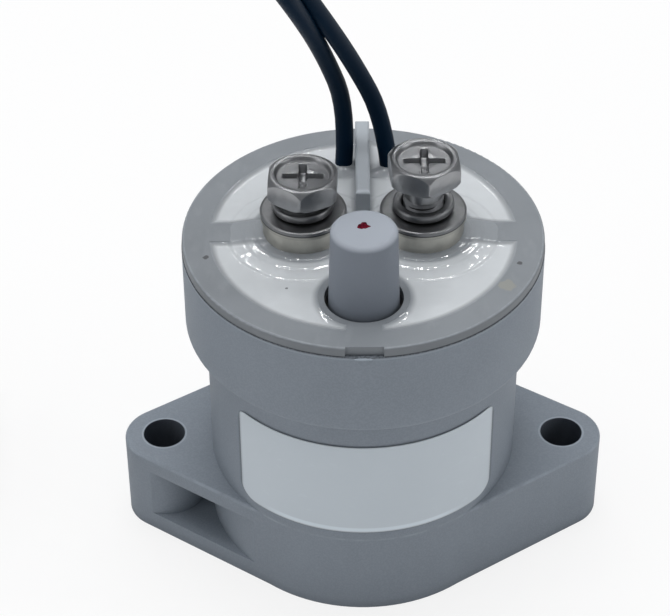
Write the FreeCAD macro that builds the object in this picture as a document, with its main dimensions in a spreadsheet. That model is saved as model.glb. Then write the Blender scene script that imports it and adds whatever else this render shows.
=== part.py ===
"""Sealed direct-current power relay with two mounting ears, as a parametric document.

Millimetres. The origin is the centre of the base, on the surface the relay stands on.
+X runs along the two ears, +Y points to the lead wires, +Z points up.
"""
import FreeCAD, Part
import Sketcher
import math
import os
import re
from types import SimpleNamespace

from FreeCAD import Rotation, Vector

# Driving sizes, in millimetres unless the name says degrees or turns.
SIZES = {
    # moulded housing
    "hole_spacing": 50.8,
    "hole_radius": 2.63,
    "ear_radius": 5.0,
    "ear_side_inset": 0.05,
    "ear_edge_round": 0.4,
    "flange_height": 12.0,
    "base_radius": 19.2,
    "drum_step": 2.5,
    "drum_height": 11.4,
    "drum_edge_round": 0.9,
    "neck_round": 0.8,
    "rim_height": 43.2,
    "side_wall": 1.8,
    "base_floor": 2.0,
    "shelf_thickness": 1.8,
    "window_sill": 2.6,
    "window_lintel": 2.2,
    "window_boss_wall": 0.18,
    "window_core_wall": 0.27,
    "window_web": 2.0,
    # lid
    "lid_setback": 0.08,
    "lid_thickness": 1.2,
    "lid_edge_round": 0.3,
    "spigot_depth": 2.0,
    "spigot_clearance": 0.05,
    "spigot_wall": 1.1,
    "rim_lip": 0.35,
    "side_bridge_width": 3.6,
    "front_bridge_width": 4.0,
    "collar_wall": 1.15,
    "collar_clearance": 0.2,
    "peg_ring_wall": 0.75,
    "fin_thickness": 1.75,
    "fin_front": 3.0,
    "fin_overlap": 0.2,
    "fin_height": 3.6,
    "fin_round": 0.6,
    "crossbar_place": 11.8,
    "crossbar_width": 1.7,
    "crossbar_length": 11.0,
    "notch_width": 4.4,
    "notch_depth": 0.45,
    # potting
    "potting_recess": 0.2,
    # label
    "label_thickness": 0.1,
    "label_gap": 0.05,
    "label_half_width": 15.2,
    "label_offset": 0.3,
    "label_lift": 0.4,
    "label_height": 14.8,
    "label_low_round": 3.0,
    "label_high_round": 1.0,
    # fill tube and its cap
    "cap_inset": 6.1,
    "cap_base_radius": 4.2,
    "cap_taper": 0.35,
    "cap_rise": 9.9,
    "cap_round": 0.7,
    "cap_wall": 1.0,
    "cap_gap": 0.4,
    "fill_tube_radius": 1.2,
    "fill_tube_wall": 0.4,
    "fill_tube_gap": 1.8,
    "fill_tube_pinch": 2.5,
    # terminals
    "terminal_spacing": 14.2,
    "post_radius": 4.85,
    "post_rise": 2.6,
    "post_flange_lip": 1.35,
    "post_flange_thickness": 1.2,
    "post_tip_radius": 3.5,
    "post_tip_length": 0.8,
    "thread_radius": 2.5,
    "thread_end_gap": 0.5,
    "thread_clearance": 0.05,
    "flat_washer_radius": 5.15,
    "flat_washer_thickness": 1.0,
    "washer_clearance": 0.2,
    "spring_washer_clearance": 0.1,
    "spring_washer_section": 1.05,
    "spring_washer_rise": 0.45,
    "spring_washer_turns": 0.96,
    "screw_length": 10.0,
    "screw_hex_flats": 8.0,
    "screw_head_height": 2.85,
    "screw_crown_inset": 0.2,
    "screw_crown_rim": 0.6,
    "screw_cup_depth": 0.55,
    "cross_length": 5.2,
    "cross_width": 1.05,
    "cross_depth": 1.3,
    "screw_point": 0.5,
    "left_screw_play": 0.8,
    "right_screw_play": 2.95,
    "left_screw_turn_degrees": 27.0,
    "right_screw_turn_degrees": 36.0,
    # magnet system
    "can_gap": 0.8,
    "can_wall": 1.5,
    "plate_thickness": 2.0,
    "bobbin_gap": 0.1,
    "bobbin_wall": 0.8,
    "bobbin_side_gap": 0.4,
    "bobbin_flange": 1.0,
    "winding_margin": 0.8,
    "sleeve_gap": 0.2,
    "sleeve_wall": 0.4,
    "core_radius": 5.9,
    "core_clearance": 0.1,
    "core_chamfer": 0.5,
    "core_rest_gap": 0.3,
    "fixed_core_reach": 8.7,
    "stroke": 2.0,
    "stop_gap": 0.3,
    "core_flange_lip": 1.5,
    "core_flange": 0.8,
    "shaft_radius": 1.5,
    "shaft_clearance": 0.08,
    "press_clearance": 0.01,
    "spring_pocket_gap": 0.55,
    "spring_pocket_depth": 4.0,
    "return_spring_radius": 2.5,
    "return_spring_wire": 0.5,
    "return_spring_pitch": 1.16,
    "spring_end_gap": 0.05,
    # arc chamber and contacts
    "chamber_gap": 0.6,
    "chamber_wall": 1.6,
    "chamber_floor": 1.4,
    "chamber_height": 11.6,
    "cover_thickness": 1.8,
    "magnet_gap": 0.5,
    "magnet_height": 5.6,
    "magnet_span_degrees": 70.0,
    "contact_gap": 1.55,
    "pad_radius": 2.4,
    "pad_thickness": 0.6,
    "bridge_end": 0.3,
    "bridge_width": 6.4,
    "bridge_thickness": 1.7,
    "contact_spring_radius": 2.7,
    "contact_spring_wire": 0.6,
    "contact_spring_pitch": 0.74,
    "spring_seat_gap": 0.35,
    "spring_seat_rim": 0.6,
    "spring_seat_thickness": 0.6,
    "clip_radius": 3.0,
    "clip_thickness": 0.5,
    "clip_slot": 1.6,
    "shaft_above_clip": 1.0,
    # lead wires
    "wire_radius": 1.1,
    "coil_radius": 12.1,
    "coil_band": 4.6,
    "coil_height": 4.4,
    "coil_tail": 16.0,
    "tail_lift": 0.05,
    "coil_stack_gap": 0.3,
    "tip_radius": 0.6,
    "tip_length": 6.0,
}

V = SimpleNamespace(**SIZES)

# Radii and heights that several pieces share, written in the names above. The outer form drives
# them: radii are stepped inwards from the barrel, and heights downwards from the rim.
DRUM_RADIUS = "(base_radius + drum_step)"
LOW_BORE = "(base_radius - side_wall)"
DRUM_BORE = "(base_radius + drum_step - side_wall)"
LID_RADIUS = "(base_radius + drum_step - lid_setback)"
SPIGOT_RADIUS = "(%s - spigot_clearance)" % DRUM_BORE
SPIGOT_BORE = "(%s - spigot_wall)" % SPIGOT_RADIUS
OPENING_RADIUS = "(%s - rim_lip)" % SPIGOT_BORE
CAP_PLACE = "(%s - cap_inset)" % OPENING_RADIUS
CAP_HOLE = "(cap_base_radius + cap_gap)"
CAN_RADIUS = "(%s - can_gap)" % LOW_BORE
CAN_BORE = "(%s - can_wall)" % CAN_RADIUS
BOBBIN_RADIUS = "(%s - bobbin_side_gap)" % CAN_BORE
SLEEVE_BORE = "(core_radius + sleeve_gap)"
SLEEVE_RADIUS = "(%s + sleeve_wall)" % SLEEVE_BORE
BOBBIN_BORE = "(%s + bobbin_gap)" % SLEEVE_RADIUS
BOBBIN_TUBE = "(%s + bobbin_wall)" % BOBBIN_BORE
POCKET_RADIUS = "(return_spring_radius + return_spring_wire / 2 + spring_pocket_gap)"
CHAMBER_RADIUS = "(%s - chamber_gap)" % LOW_BORE
SEAT_RADIUS = "(contact_spring_radius + contact_spring_wire / 2 + spring_seat_rim)"
SHAFT_HOLE = "(shaft_radius + shaft_clearance)"
PRESS_HOLE = "(shaft_radius + press_clearance)"
WASHER_BORE = "(thread_radius + washer_clearance)"
CROWN_RADIUS = "(screw_hex_flats / 2 - screw_crown_inset)"

LID_TOP = "(rim_height + lid_thickness)"
POTTING_TOP = "(%s - potting_recess)" % LID_TOP
POST_TOP = "(%s + post_rise)" % LID_TOP
CAP_TOP = "(%s + cap_rise)" % LID_TOP
FILL_TUBE_TOP = "(%s - cap_wall - fill_tube_gap)" % CAP_TOP
FLAT_WASHER_TOP = "(%s + flat_washer_thickness)" % POST_TOP
SPRING_WASHER_HEIGHT = "(spring_washer_section + spring_washer_rise)"
BORE_DEPTH = "(screw_length - flat_washer_thickness - %s + thread_end_gap)" % SPRING_WASHER_HEIGHT
DRUM_UNDERSIDE = "(rim_height - drum_height)"
SHELF_TOP = "(%s + shelf_thickness)" % DRUM_UNDERSIDE
LABEL_BOTTOM = "(flange_height + label_lift)"
LABEL_TOP = "(%s + label_height)" % LABEL_BOTTOM
COVER_TOP = "(rim_height - spigot_depth)"
COVER_BOTTOM = "(%s - cover_thickness)" % COVER_TOP
CHAMBER_BOTTOM = "(%s - chamber_height)" % COVER_BOTTOM
CHAMBER_FLOOR_TOP = "(%s + chamber_floor)" % CHAMBER_BOTTOM
PLATE_TOP = "(%s - core_flange)" % CHAMBER_BOTTOM
CAN_TOP = "(%s - plate_thickness)" % PLATE_TOP
CAN_FLOOR_TOP = "(base_floor + can_wall)"
FIXED_CORE_BOTTOM = "(%s - fixed_core_reach)" % CAN_TOP
MOVING_CORE_TOP = "(%s - stroke - stop_gap)" % FIXED_CORE_BOTTOM
MOVING_CORE_BOTTOM = "(%s + sleeve_wall + core_rest_gap)" % CAN_FLOOR_TOP
TIP_BOTTOM = "(%s - post_flange_thickness - post_tip_length)" % COVER_BOTTOM
FIXED_PAD_BOTTOM = "(%s - pad_thickness)" % TIP_BOTTOM
BRIDGE_TOP = "(%s - contact_gap - pad_thickness)" % FIXED_PAD_BOTTOM
BRIDGE_BOTTOM = "(%s - bridge_thickness)" % BRIDGE_TOP
SEAT_BOTTOM = "(%s + spring_seat_gap)" % CHAMBER_FLOOR_TOP
SEAT_TOP = "(%s + spring_seat_thickness)" % SEAT_BOTTOM
SHAFT_TOP = "(%s + clip_thickness + shaft_above_clip)" % BRIDGE_TOP

# The lead wires' routes: hand-chosen points, from the potting over the relay's left side and
# down to the two coils, of which the right lead's lies on the left lead's.
LEFT_ROUTE = [
    (-2.3, 14.2, 44.2), (-2.0, 14.3, 52.5), (-4.3, 9.6, 63.5), (-6.9, 0.4, 75.2),
    (-11.5, -8.6, 88.0), (-22.0, -13.5, 97.0), (-36.5, -15.0, 96.5), (-50.0, -17.0, 85.5),
    (-60.0, -19.5, 69.0), (-66.0, -22.5, 50.5), (-70.0, -25.0, 32.5), (-72.8, -25.8, 17.5),
    (-75.0, -22.0, 7.2), (-76.1, -14.0, 2.0), (-76.1, -6.5, 1.1), (-76.1, 0.0, 1.1),
]
RIGHT_ROUTE = [
    (3.3, 13.8, 44.2), (3.0, 13.8, 51.5), (-0.2, 10.4, 62.0), (-4.0, 3.4, 73.5),
    (-9.5, -3.2, 86.5), (-19.5, -5.0, 97.5), (-33.0, -1.0, 100.5), (-46.0, 4.5, 92.0),
    (-56.5, 10.5, 76.5), (-63.0, 16.5, 59.0), (-68.0, 22.0, 41.0), (-72.0, 25.0, 24.5),
    (-75.0, 22.0, 12.5), (-76.1, 14.0, 6.8), (-76.1, 6.5, 5.8), (-76.1, 0.0, 5.8),
]
COIL_X = -64

doc = FreeCAD.newDocument("relay")
sheet = doc.addObject("Spreadsheet::Sheet", "Sizes")
for row, (alias, value) in enumerate(SIZES.items(), start=1):
    sheet.set("A%d" % row, alias)
    sheet.set("B%d" % row, str(value))
    sheet.setAlias("B%d" % row, alias)
doc.recompute()

NODES = {}


def sized(text):
    """Turn an expression in size names into one that reads the sheet."""
    return re.sub(r"[a-z][a-z_]*[a-z]", lambda m: "Sizes." + m[0] if m[0] in SIZES else m[0], text)


def bind(thing, **texts):
    for prop, text in texts.items():
        thing.setExpression(prop, sized(text))


def place(thing, x="0", y="0", z="0"):
    for letter, text in (("x", x), ("y", y), ("z", z)):
        thing.setExpression("Placement.Base." + letter, sized(text))
    return thing


def node(name, thing):
    """Give a finished sub-part its name and list it for export."""
    thing.Label = name
    NODES[name] = thing
    return thing


def cylinder(name, radius, height, x="0", y="0", z="0"):
    thing = doc.addObject("Part::Cylinder", name)
    bind(thing, Radius=radius, Height=height)
    return place(thing, x, y, z)


def block(name, size, corner):
    thing = doc.addObject("Part::Box", name)
    bind(thing, Length=size[0], Width=size[1], Height=size[2])
    return place(thing, *corner)


def fuse(name, things):
    thing = doc.addObject("Part::MultiFuse", name)
    thing.Shapes = things
    return thing


def cut(name, base, tools):
    thing = doc.addObject("Part::Cut", name)
    thing.Base = base
    thing.Tool = tools[0] if len(tools) == 1 else fuse(name + "_tools", tools)
    return thing


def common(name, first, second):
    thing = doc.addObject("Part::MultiCommon", name)
    thing.Shapes = [first, second]
    return thing


def ring(name, outer, inner, height, x="0", y="0", z="0"):
    """A round ring with a square section."""
    disc = cylinder(name + "_disc", outer, height, x, y, z)
    bore = cylinder(name + "_bore", inner, height, x, y, z)
    return cut(name, disc, [bore])


def new_body(name, x="0", y="0", z="0"):
    return place(doc.addObject("PartDesign::Body", name), x, y, z)


def sketch_on(body, role, name):
    """A sketch on one of the body's own origin planes."""
    plane = [p for p in body.Origin.OriginFeatures if p.Role == role][0]
    sketch = body.newObject("Sketcher::SketchObject", name)
    sketch.AttachmentSupport = [(plane, "")]
    sketch.MapMode = "FlatFace"
    return sketch


def pin_point(sketch, line, point, axis_kind, text):
    """Fix one coordinate of a sketch point: on an axis, or at a bound distance."""
    if text == "0":
        sketch.addConstraint(Sketcher.Constraint("PointOnObject", line, point,
                                                 -2 if axis_kind == "DistanceX" else -1))
        return
    start = sketch.Geometry[line].StartPoint
    value = start.x if axis_kind == "DistanceX" else start.y
    index = sketch.addConstraint(Sketcher.Constraint(axis_kind, -1, 1, line, point, value))
    sketch.setExpression("Constraints[%d]" % index, sized(text))


def outline(sketch, points):
    """A closed outline of straight edges whose corners are bound to the sheet."""
    count = len(points)
    guess = [Vector(10 + 5 * math.cos(math.tau * i / count), 10 + 5 * math.sin(math.tau * i / count), 0)
             for i in range(count)]
    for i in range(count):
        sketch.addGeometry(Part.LineSegment(guess[i], guess[(i + 1) % count]), False)
    for i in range(count):
        sketch.addConstraint(Sketcher.Constraint("Coincident", i, 2, (i + 1) % count, 1))
    for i, (across, up) in enumerate(points):
        pin_point(sketch, i, 1, "DistanceX", across)
        pin_point(sketch, i, 1, "DistanceY", up)


def revolve(body, points, kind="PartDesign::Revolution", name="turned"):
    """Turn an outline of (radius, height) corners about the body's upright axis."""
    sketch = sketch_on(body, "XZ_Plane", body.Name + "_" + name)
    outline(sketch, points)
    feature = body.newObject(kind, body.Name + "_" + name + "_form")
    feature.Profile = sketch
    feature.ReferenceAxis = (sketch, ["V_Axis"])
    feature.Angle = 360.0
    return feature


def turned(name, points, x="0", y="0", z="0"):
    body = new_body(name, x, y, z)
    revolve(body, points)
    return body


def round_edges(body, radius, pick, name):
    """Round the edges of a body's last form that a test picks."""
    doc.recompute()
    base = body.Tip
    names = ["Edge%d" % (i + 1) for i, edge in enumerate(base.Shape.Edges) if pick(edge)]
    if not names:
        raise RuntimeError("no edge to round on " + body.Name)
    feature = body.newObject("PartDesign::Fillet", body.Name + "_" + name)
    feature.Base = (base, names)
    bind(feature, Radius=radius)
    return feature


def circle_at(edge, radius, height):
    """Whether an edge is a round one of this radius at this height of its body."""
    curve = edge.Curve
    return (isinstance(curve, Part.Circle) and abs(curve.Radius - radius) < 1e-3
            and abs(curve.Center.z - height) < 1e-3)


def ear_outline(sketch):
    """The flange's outline: two ear arcs and two base arcs joined by tangent lines."""
    half = V.hole_spacing / 2
    core = V.base_radius - V.ear_side_inset
    tilt = math.asin((core - V.ear_radius) / half)
    fans = ((1, 1), (-1, 1), (-1, -1), (1, -1))
    normals = [Vector(sx * math.sin(tilt), sy * math.cos(tilt), 0) for sx, sy in fans]
    ear = [Vector(sx * half, 0, 0) + n * V.ear_radius for (sx, sy), n in zip(fans, normals)]
    mid = [n * core for n in normals]
    axis = Vector(0, 0, 1)

    def arc(centre, radius, start, end):
        from_angle = math.atan2(start.y - centre.y, start.x - centre.x)
        to_angle = math.atan2(end.y - centre.y, end.x - centre.x)
        if to_angle < from_angle:
            to_angle += math.tau
        return Part.ArcOfCircle(Part.Circle(centre, axis, radius), from_angle, to_angle)

    right, left, centre = Vector(half, 0, 0), Vector(-half, 0, 0), Vector(0, 0, 0)
    pieces = [
        arc(right, V.ear_radius, ear[3], ear[0]), Part.LineSegment(ear[0], mid[0]),
        arc(centre, core, mid[0], mid[1]), Part.LineSegment(mid[1], ear[1]),
        arc(left, V.ear_radius, ear[1], ear[2]), Part.LineSegment(ear[2], mid[2]),
        arc(centre, core, mid[2], mid[3]), Part.LineSegment(mid[3], ear[3]),
    ]
    for piece in pieces:
        sketch.addGeometry(piece, False)
    add = sketch.addConstraint
    for i in range(8):
        add(Sketcher.Constraint("Tangent", i, 2, (i + 1) % 8, 1))
    for i in (2, 6):
        add(Sketcher.Constraint("Coincident", i, 3, -1, 1))
        index = add(Sketcher.Constraint("Radius", i, core))
        sketch.setExpression("Constraints[%d]" % index, sized("base_radius - ear_side_inset"))
    for i, first, second in ((0, (-1, 1), (0, 3)), (4, (4, 3), (-1, 1))):
        add(Sketcher.Constraint("PointOnObject", i, 3, -1))
        index = add(Sketcher.Constraint("Radius", i, V.ear_radius))
        sketch.setExpression("Constraints[%d]" % index, sized("ear_radius"))
        index = add(Sketcher.Constraint("DistanceX", *first, *second, half))
        sketch.setExpression("Constraints[%d]" % index, sized("hole_spacing / 2"))


def make_housing():
    """The moulded case: an eared flange, a straight barrel and a wider drum, bored to two sizes."""
    body = new_body("housing_body")
    sketch = sketch_on(body, "XY_Plane", "ear_outline")
    ear_outline(sketch)
    pad = body.newObject("PartDesign::Pad", "flange")
    pad.Profile = sketch
    bind(pad, Length="flange_height")
    round_edges(body, "ear_edge_round", lambda e: abs(e.BoundBox.ZMin - V.flange_height) < 1e-4, "ear_edges")
    revolve(body, [("0", "0"), ("base_radius", "0"), ("base_radius", DRUM_UNDERSIDE),
                   (DRUM_RADIUS, DRUM_UNDERSIDE), (DRUM_RADIUS, "rim_height"), ("0", "rim_height")],
            name="barrel")
    step = V.rim_height - V.drum_height
    round_edges(body, "neck_round", lambda e: circle_at(e, V.base_radius, step), "neck")
    round_edges(body, "drum_edge_round", lambda e: circle_at(e, V.base_radius + V.drum_step, step),
                "drum_edge")
    revolve(body, [("0", "base_floor"), (LOW_BORE, "base_floor"), (LOW_BORE, SHELF_TOP),
                   (DRUM_BORE, SHELF_TOP), (DRUM_BORE, LID_TOP), ("0", LID_TOP)],
            kind="PartDesign::Groove", name="bore")
    tools = []
    for side, sign in (("left", -1), ("right", 1)):
        x = "%d * hole_spacing / 2" % sign
        tools.append(cylinder(side + "_mounting_hole", "hole_radius", "flange_height + 2", x, "0", "-1"))
        reach = "hole_spacing / 2 + ear_radius + 1"
        depth = "base_radius + 1 - window_web"
        tall = "flange_height - window_sill - window_lintel"
        corner = ("-(%s)" % reach if sign < 0 else "0",
                  "-(base_radius + 1)" if sign < 0 else "window_web", "window_sill")
        slot = block(side + "_window_slot", (reach, depth, tall), corner)
        boss = cylinder(side + "_window_boss", "ear_radius + window_boss_wall", "flange_height", x)
        core = cylinder(side + "_window_core", "base_radius + window_core_wall", "flange_height")
        tools.append(cut(side + "_ear_window", slot, [boss, core]))
    return node("housing", cut("housing", body, tools))


def make_lid():
    """The thin lid: a rim, bridges and collars that leave the potting open, and an upright fin."""
    rim = new_body("lid_rim")
    low = "rim_height"
    revolve(rim, [(OPENING_RADIUS, low), (SPIGOT_BORE, low), (SPIGOT_BORE, COVER_TOP),
                  (SPIGOT_RADIUS, COVER_TOP), (SPIGOT_RADIUS, low), (LID_RADIUS, low),
                  (LID_RADIUS, LID_TOP), (OPENING_RADIUS, LID_TOP)])
    edge_radius = V.base_radius + V.drum_step - V.lid_setback
    top = V.rim_height + V.lid_thickness
    round_edges(rim, "lid_edge_round", lambda e: circle_at(e, edge_radius, top), "edge")
    thick = "lid_thickness"
    reach = OPENING_RADIUS + " + rim_lip"
    post_x = "terminal_spacing / 2"
    things = [
        rim,
        block("side_bridges", ("2 * (%s)" % reach, "side_bridge_width", thick),
              ("-(%s)" % reach, "-side_bridge_width / 2", low)),
        block("front_bridge", ("front_bridge_width", "%s - %s" % (reach, CAP_PLACE), thick),
              ("-front_bridge_width / 2", "-(%s)" % reach, low)),
        block("crossbar", ("crossbar_length", "crossbar_width", thick),
              ("-crossbar_length / 2", "crossbar_place - crossbar_width / 2", low)),
        cylinder("peg_ring", CAP_HOLE + " + peg_ring_wall", LID_TOP + " - " + COVER_TOP,
                 "0", "-" + CAP_PLACE, COVER_TOP),
    ]
    holes = [cylinder("peg_hole", CAP_HOLE, LID_TOP, "0", "-" + CAP_PLACE, "0"),
             block("front_notch", ("notch_width", LID_RADIUS, thick),
                   ("-notch_width / 2", "-2 * %s + notch_depth" % LID_RADIUS, low))]
    for side, x in (("left", "-" + post_x), ("right", post_x)):
        hole = "post_radius + collar_clearance"
        things.append(cylinder(side + "_collar", hole + " + collar_wall", thick, x, "0", low))
        holes.append(cylinder(side + "_collar_hole", hole, LID_TOP, x))
    fin = new_body("fin")
    sketch = sketch_on(fin, "YZ_Plane", "fin_side")
    fin_top = LID_TOP + " + fin_height"
    rear = OPENING_RADIUS + " + fin_overlap"
    outline(sketch, [("fin_front", low), (rear, low), (rear, LID_TOP),
                     (rear + " - fin_round", fin_top), ("fin_front", fin_top)])
    pad = fin.newObject("PartDesign::Pad", "fin_plate")
    pad.Profile = sketch
    pad.Midplane = True
    bind(pad, Length="fin_thickness")
    top += V.fin_height
    round_edges(fin, "fin_thickness / 5", lambda e: abs(e.BoundBox.ZMin - top) < 1e-4, "fin_edges")
    things.append(fin)
    return node("lid", cut("lid", fuse("lid_web", things), holes))


def make_label():
    """A thin blank label round the front of the barrel, its low corners more rounded."""
    inner = "base_radius + label_gap"
    shell = ring("label_shell", inner + " + label_thickness", inner, LABEL_TOP)
    body = new_body("label_blank", "label_offset")
    sketch = sketch_on(body, "XZ_Plane", "label_face")
    outline(sketch, [("label_half_width", LABEL_BOTTOM), ("label_half_width", LABEL_TOP),
                     ("0", LABEL_TOP), ("0", LABEL_BOTTOM)])
    pad = body.newObject("PartDesign::Pad", "label_half")
    pad.Profile = sketch
    bind(pad, Length=DRUM_RADIUS)

    def upright(height):
        return lambda e: (abs(e.BoundBox.XMin - V.label_half_width) < 1e-4
                          and abs(e.BoundBox.XMax - V.label_half_width) < 1e-4
                          and abs(e.BoundBox.ZMax - height) < 1e-4
                          and e.BoundBox.ZLength < 1e-4)

    bottom = V.flange_height + V.label_lift
    round_edges(body, "label_low_round", upright(bottom), "low_corner")
    round_edges(body, "label_high_round", upright(bottom + V.label_height), "high_corner")
    mirror = body.newObject("PartDesign::Mirrored", "label_both")
    mirror.Originals = [f for f in body.Group if f.TypeId in ("PartDesign::Pad", "PartDesign::Fillet")]
    mirror.MirrorPlane = ([p for p in body.Origin.OriginFeatures if p.Role == "YZ_Plane"][0], [""])
    body.Tip = mirror
    return node("label", common("label", shell, body))


def make_cap():
    """The hollow tapered cap over the fill tube."""
    top_radius = "cap_base_radius - cap_taper"
    ceiling = CAP_TOP + " - cap_wall"
    body = turned("tube_cap", [("cap_base_radius", COVER_TOP), (top_radius, CAP_TOP), ("0", CAP_TOP),
                               ("0", ceiling), (top_radius + " - cap_wall", ceiling),
                               ("cap_base_radius - cap_wall", COVER_TOP)], "0", "-" + CAP_PLACE)
    crown_radius = V.cap_base_radius - V.cap_taper
    crown_height = V.rim_height + V.lid_thickness + V.cap_rise
    round_edges(body, "cap_round", lambda e: circle_at(e, crown_radius, crown_height), "crown")
    return node("tube_cap", body)


def make_terminal(side, sign, play, turn):
    """A post with its flange and tip, two washers, and the screw as far out as it stands."""
    x = "%d * terminal_spacing / 2" % sign
    bore = "thread_radius + thread_clearance"
    post = turned(side + "_terminal_post", [
        ("0", TIP_BOTTOM), ("post_tip_radius", TIP_BOTTOM),
        ("post_tip_radius", TIP_BOTTOM + " + post_tip_length"),
        ("post_radius + post_flange_lip", TIP_BOTTOM + " + post_tip_length"),
        ("post_radius + post_flange_lip", COVER_BOTTOM), ("post_radius", COVER_BOTTOM),
        ("post_radius", POST_TOP), (bore, POST_TOP), (bore, "%s - %s" % (POST_TOP, BORE_DEPTH)),
        ("0", "%s - %s" % (POST_TOP, BORE_DEPTH))], x)
    node(side + "_terminal_post", post)
    node(side + "_flat_washer", ring(side + "_flat_washer", "flat_washer_radius", WASHER_BORE,
                                     "flat_washer_thickness", x, z=POST_TOP))
    washer = doc.addObject("Part::Feature", side + "_spring_washer")
    washer.Shape = split_washer()
    node(side + "_spring_washer", place(washer, x, z=FLAT_WASHER_TOP))
    seat = "%s + %s + %s" % (FLAT_WASHER_TOP, SPRING_WASHER_HEIGHT, play)
    node(side + "_terminal_screw", make_screw(side, x, seat, turn))


def split_washer():
    """A spring washer: a square bar wound through just under one turn with a small rise."""
    half = V.spring_washer_section / 2
    mean = V.thread_radius + V.spring_washer_clearance + half
    pitch = V.spring_washer_rise / V.spring_washer_turns
    path = Part.makeHelix(pitch, V.spring_washer_rise, mean)
    corners = [Vector(mean + sx * half, 0, half + sz * half)
               for sx, sz in ((-1, -1), (1, -1), (1, 1), (-1, 1))]
    section = Part.makePolygon(corners + corners[:1])
    solid = Part.Wire(path.Edges).makePipeShell([section], True, True)
    solid.rotate(Vector(0, 0, 0), Vector(0, 0, 1), 100)
    return solid


def make_screw(side, x, seat, turn):
    """A hexagon screw whose crown is turned round, with a shallow cup and a cross recess."""
    top = "(%s) + screw_head_height" % seat
    hexagon = doc.addObject("Part::Prism", side + "_hexagon")
    hexagon.Polygon = 6
    bind(hexagon, Circumradius="screw_hex_flats / sqrt(3)", Height="screw_head_height")
    place(hexagon, x, "0", seat)
    hexagon.Placement.Rotation = Rotation(Vector(0, 0, 1), 0)
    hexagon.setExpression("Placement.Rotation.Angle", sized(turn))
    full = "screw_hex_flats / sqrt(3)"
    slope = "(%s - %s)" % (full, CROWN_RADIUS)
    crown = turned(side + "_crown", [
        ("0", "0"), (full + " - 0.3 * " + slope, "0"), (full, "0.3 * " + slope),
        (full, "screw_head_height - 1.4 * " + slope),
        (CROWN_RADIUS, "screw_head_height"), ("0", "screw_head_height")], x, "0", seat)
    head = common(side + "_head", hexagon, crown)
    shank = turned(side + "_shank", [
        ("0", "0"), ("thread_radius - screw_point", "0"), ("thread_radius", "screw_point"),
        ("thread_radius", "screw_length"), ("0", "screw_length")],
        x, "0", "(%s) - screw_length" % seat)
    cup = cylinder(side + "_cup", CROWN_RADIUS + " - screw_crown_rim", "screw_head_height", x, "0",
                   top + " - screw_cup_depth")
    tools = [cup]
    arms = (("across", ("cross_length", "cross_width")), ("along", ("cross_width", "cross_length")))
    for name, size in arms:
        tools.append(block(side + "_recess_" + name, (size[0], size[1], "screw_head_height"),
                           ("%s - %s / 2" % (x, size[0]), "-%s / 2" % size[1],
                            top + " - screw_cup_depth - cross_depth")))
    return cut(side + "_terminal_screw", fuse(side + "_screw_blank", [head, shank]), tools)


def make_magnet_system():
    """The steel can and plate, the wound bobbin, the sealed sleeve and the two cores."""
    node("yoke_can", turned("yoke_can", [
        ("0", "base_floor"), (CAN_RADIUS, "base_floor"), (CAN_RADIUS, CAN_TOP), (CAN_BORE, CAN_TOP),
        (CAN_BORE, CAN_FLOOR_TOP), ("0", CAN_FLOOR_TOP)]))
    node("pole_plate", ring("pole_plate", CAN_RADIUS, "core_radius + press_clearance",
                            "plate_thickness", z=CAN_TOP))
    low = CAN_FLOOR_TOP
    above = low + " + bobbin_flange"
    below = CAN_TOP + " - bobbin_flange"
    node("bobbin", turned("bobbin", [
        (BOBBIN_BORE, low), (BOBBIN_RADIUS, low), (BOBBIN_RADIUS, above), (BOBBIN_TUBE, above),
        (BOBBIN_TUBE, below), (BOBBIN_RADIUS, below), (BOBBIN_RADIUS, CAN_TOP), (BOBBIN_BORE, CAN_TOP)]))
    node("coil_winding", ring("coil_winding", BOBBIN_RADIUS + " - winding_margin", BOBBIN_TUBE,
                              "(%s) - (%s)" % (below, above), z=above))
    node("plunger_sleeve", turned("plunger_sleeve", [
        ("0", low), (SLEEVE_RADIUS, low), (SLEEVE_RADIUS, CAN_TOP), (SLEEVE_BORE, CAN_TOP),
        (SLEEVE_BORE, low + " + sleeve_wall"), ("0", low + " + sleeve_wall")]))
    pocket_top = FIXED_CORE_BOTTOM + " + spring_pocket_depth"
    node("fixed_core", turned("fixed_core", [
        (POCKET_RADIUS, FIXED_CORE_BOTTOM), ("core_radius", FIXED_CORE_BOTTOM),
        ("core_radius", PLATE_TOP), ("core_radius + core_flange_lip", PLATE_TOP),
        ("core_radius + core_flange_lip", CHAMBER_BOTTOM), (SHAFT_HOLE, CHAMBER_BOTTOM),
        (SHAFT_HOLE, pocket_top), (POCKET_RADIUS, pocket_top)]))
    moving = SLEEVE_BORE + " - core_clearance"
    node("moving_core", turned("moving_core", [
        (PRESS_HOLE, MOVING_CORE_BOTTOM), (moving + " - core_chamfer", MOVING_CORE_BOTTOM),
        (moving, MOVING_CORE_BOTTOM + " + core_chamfer"), (moving, MOVING_CORE_TOP),
        (PRESS_HOLE, MOVING_CORE_TOP)]))
    node("shaft", cylinder("shaft", "shaft_radius", SHAFT_TOP + " - " + MOVING_CORE_BOTTOM,
                           z=MOVING_CORE_BOTTOM))
    length = V.spring_pocket_depth + V.stroke + V.stop_gap
    spring = doc.addObject("Part::Feature", "return_spring")
    spring.Shape = coil_spring(V.return_spring_radius, V.return_spring_wire, length, V.return_spring_pitch)
    node("return_spring", place(spring, z=MOVING_CORE_TOP))


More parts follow.
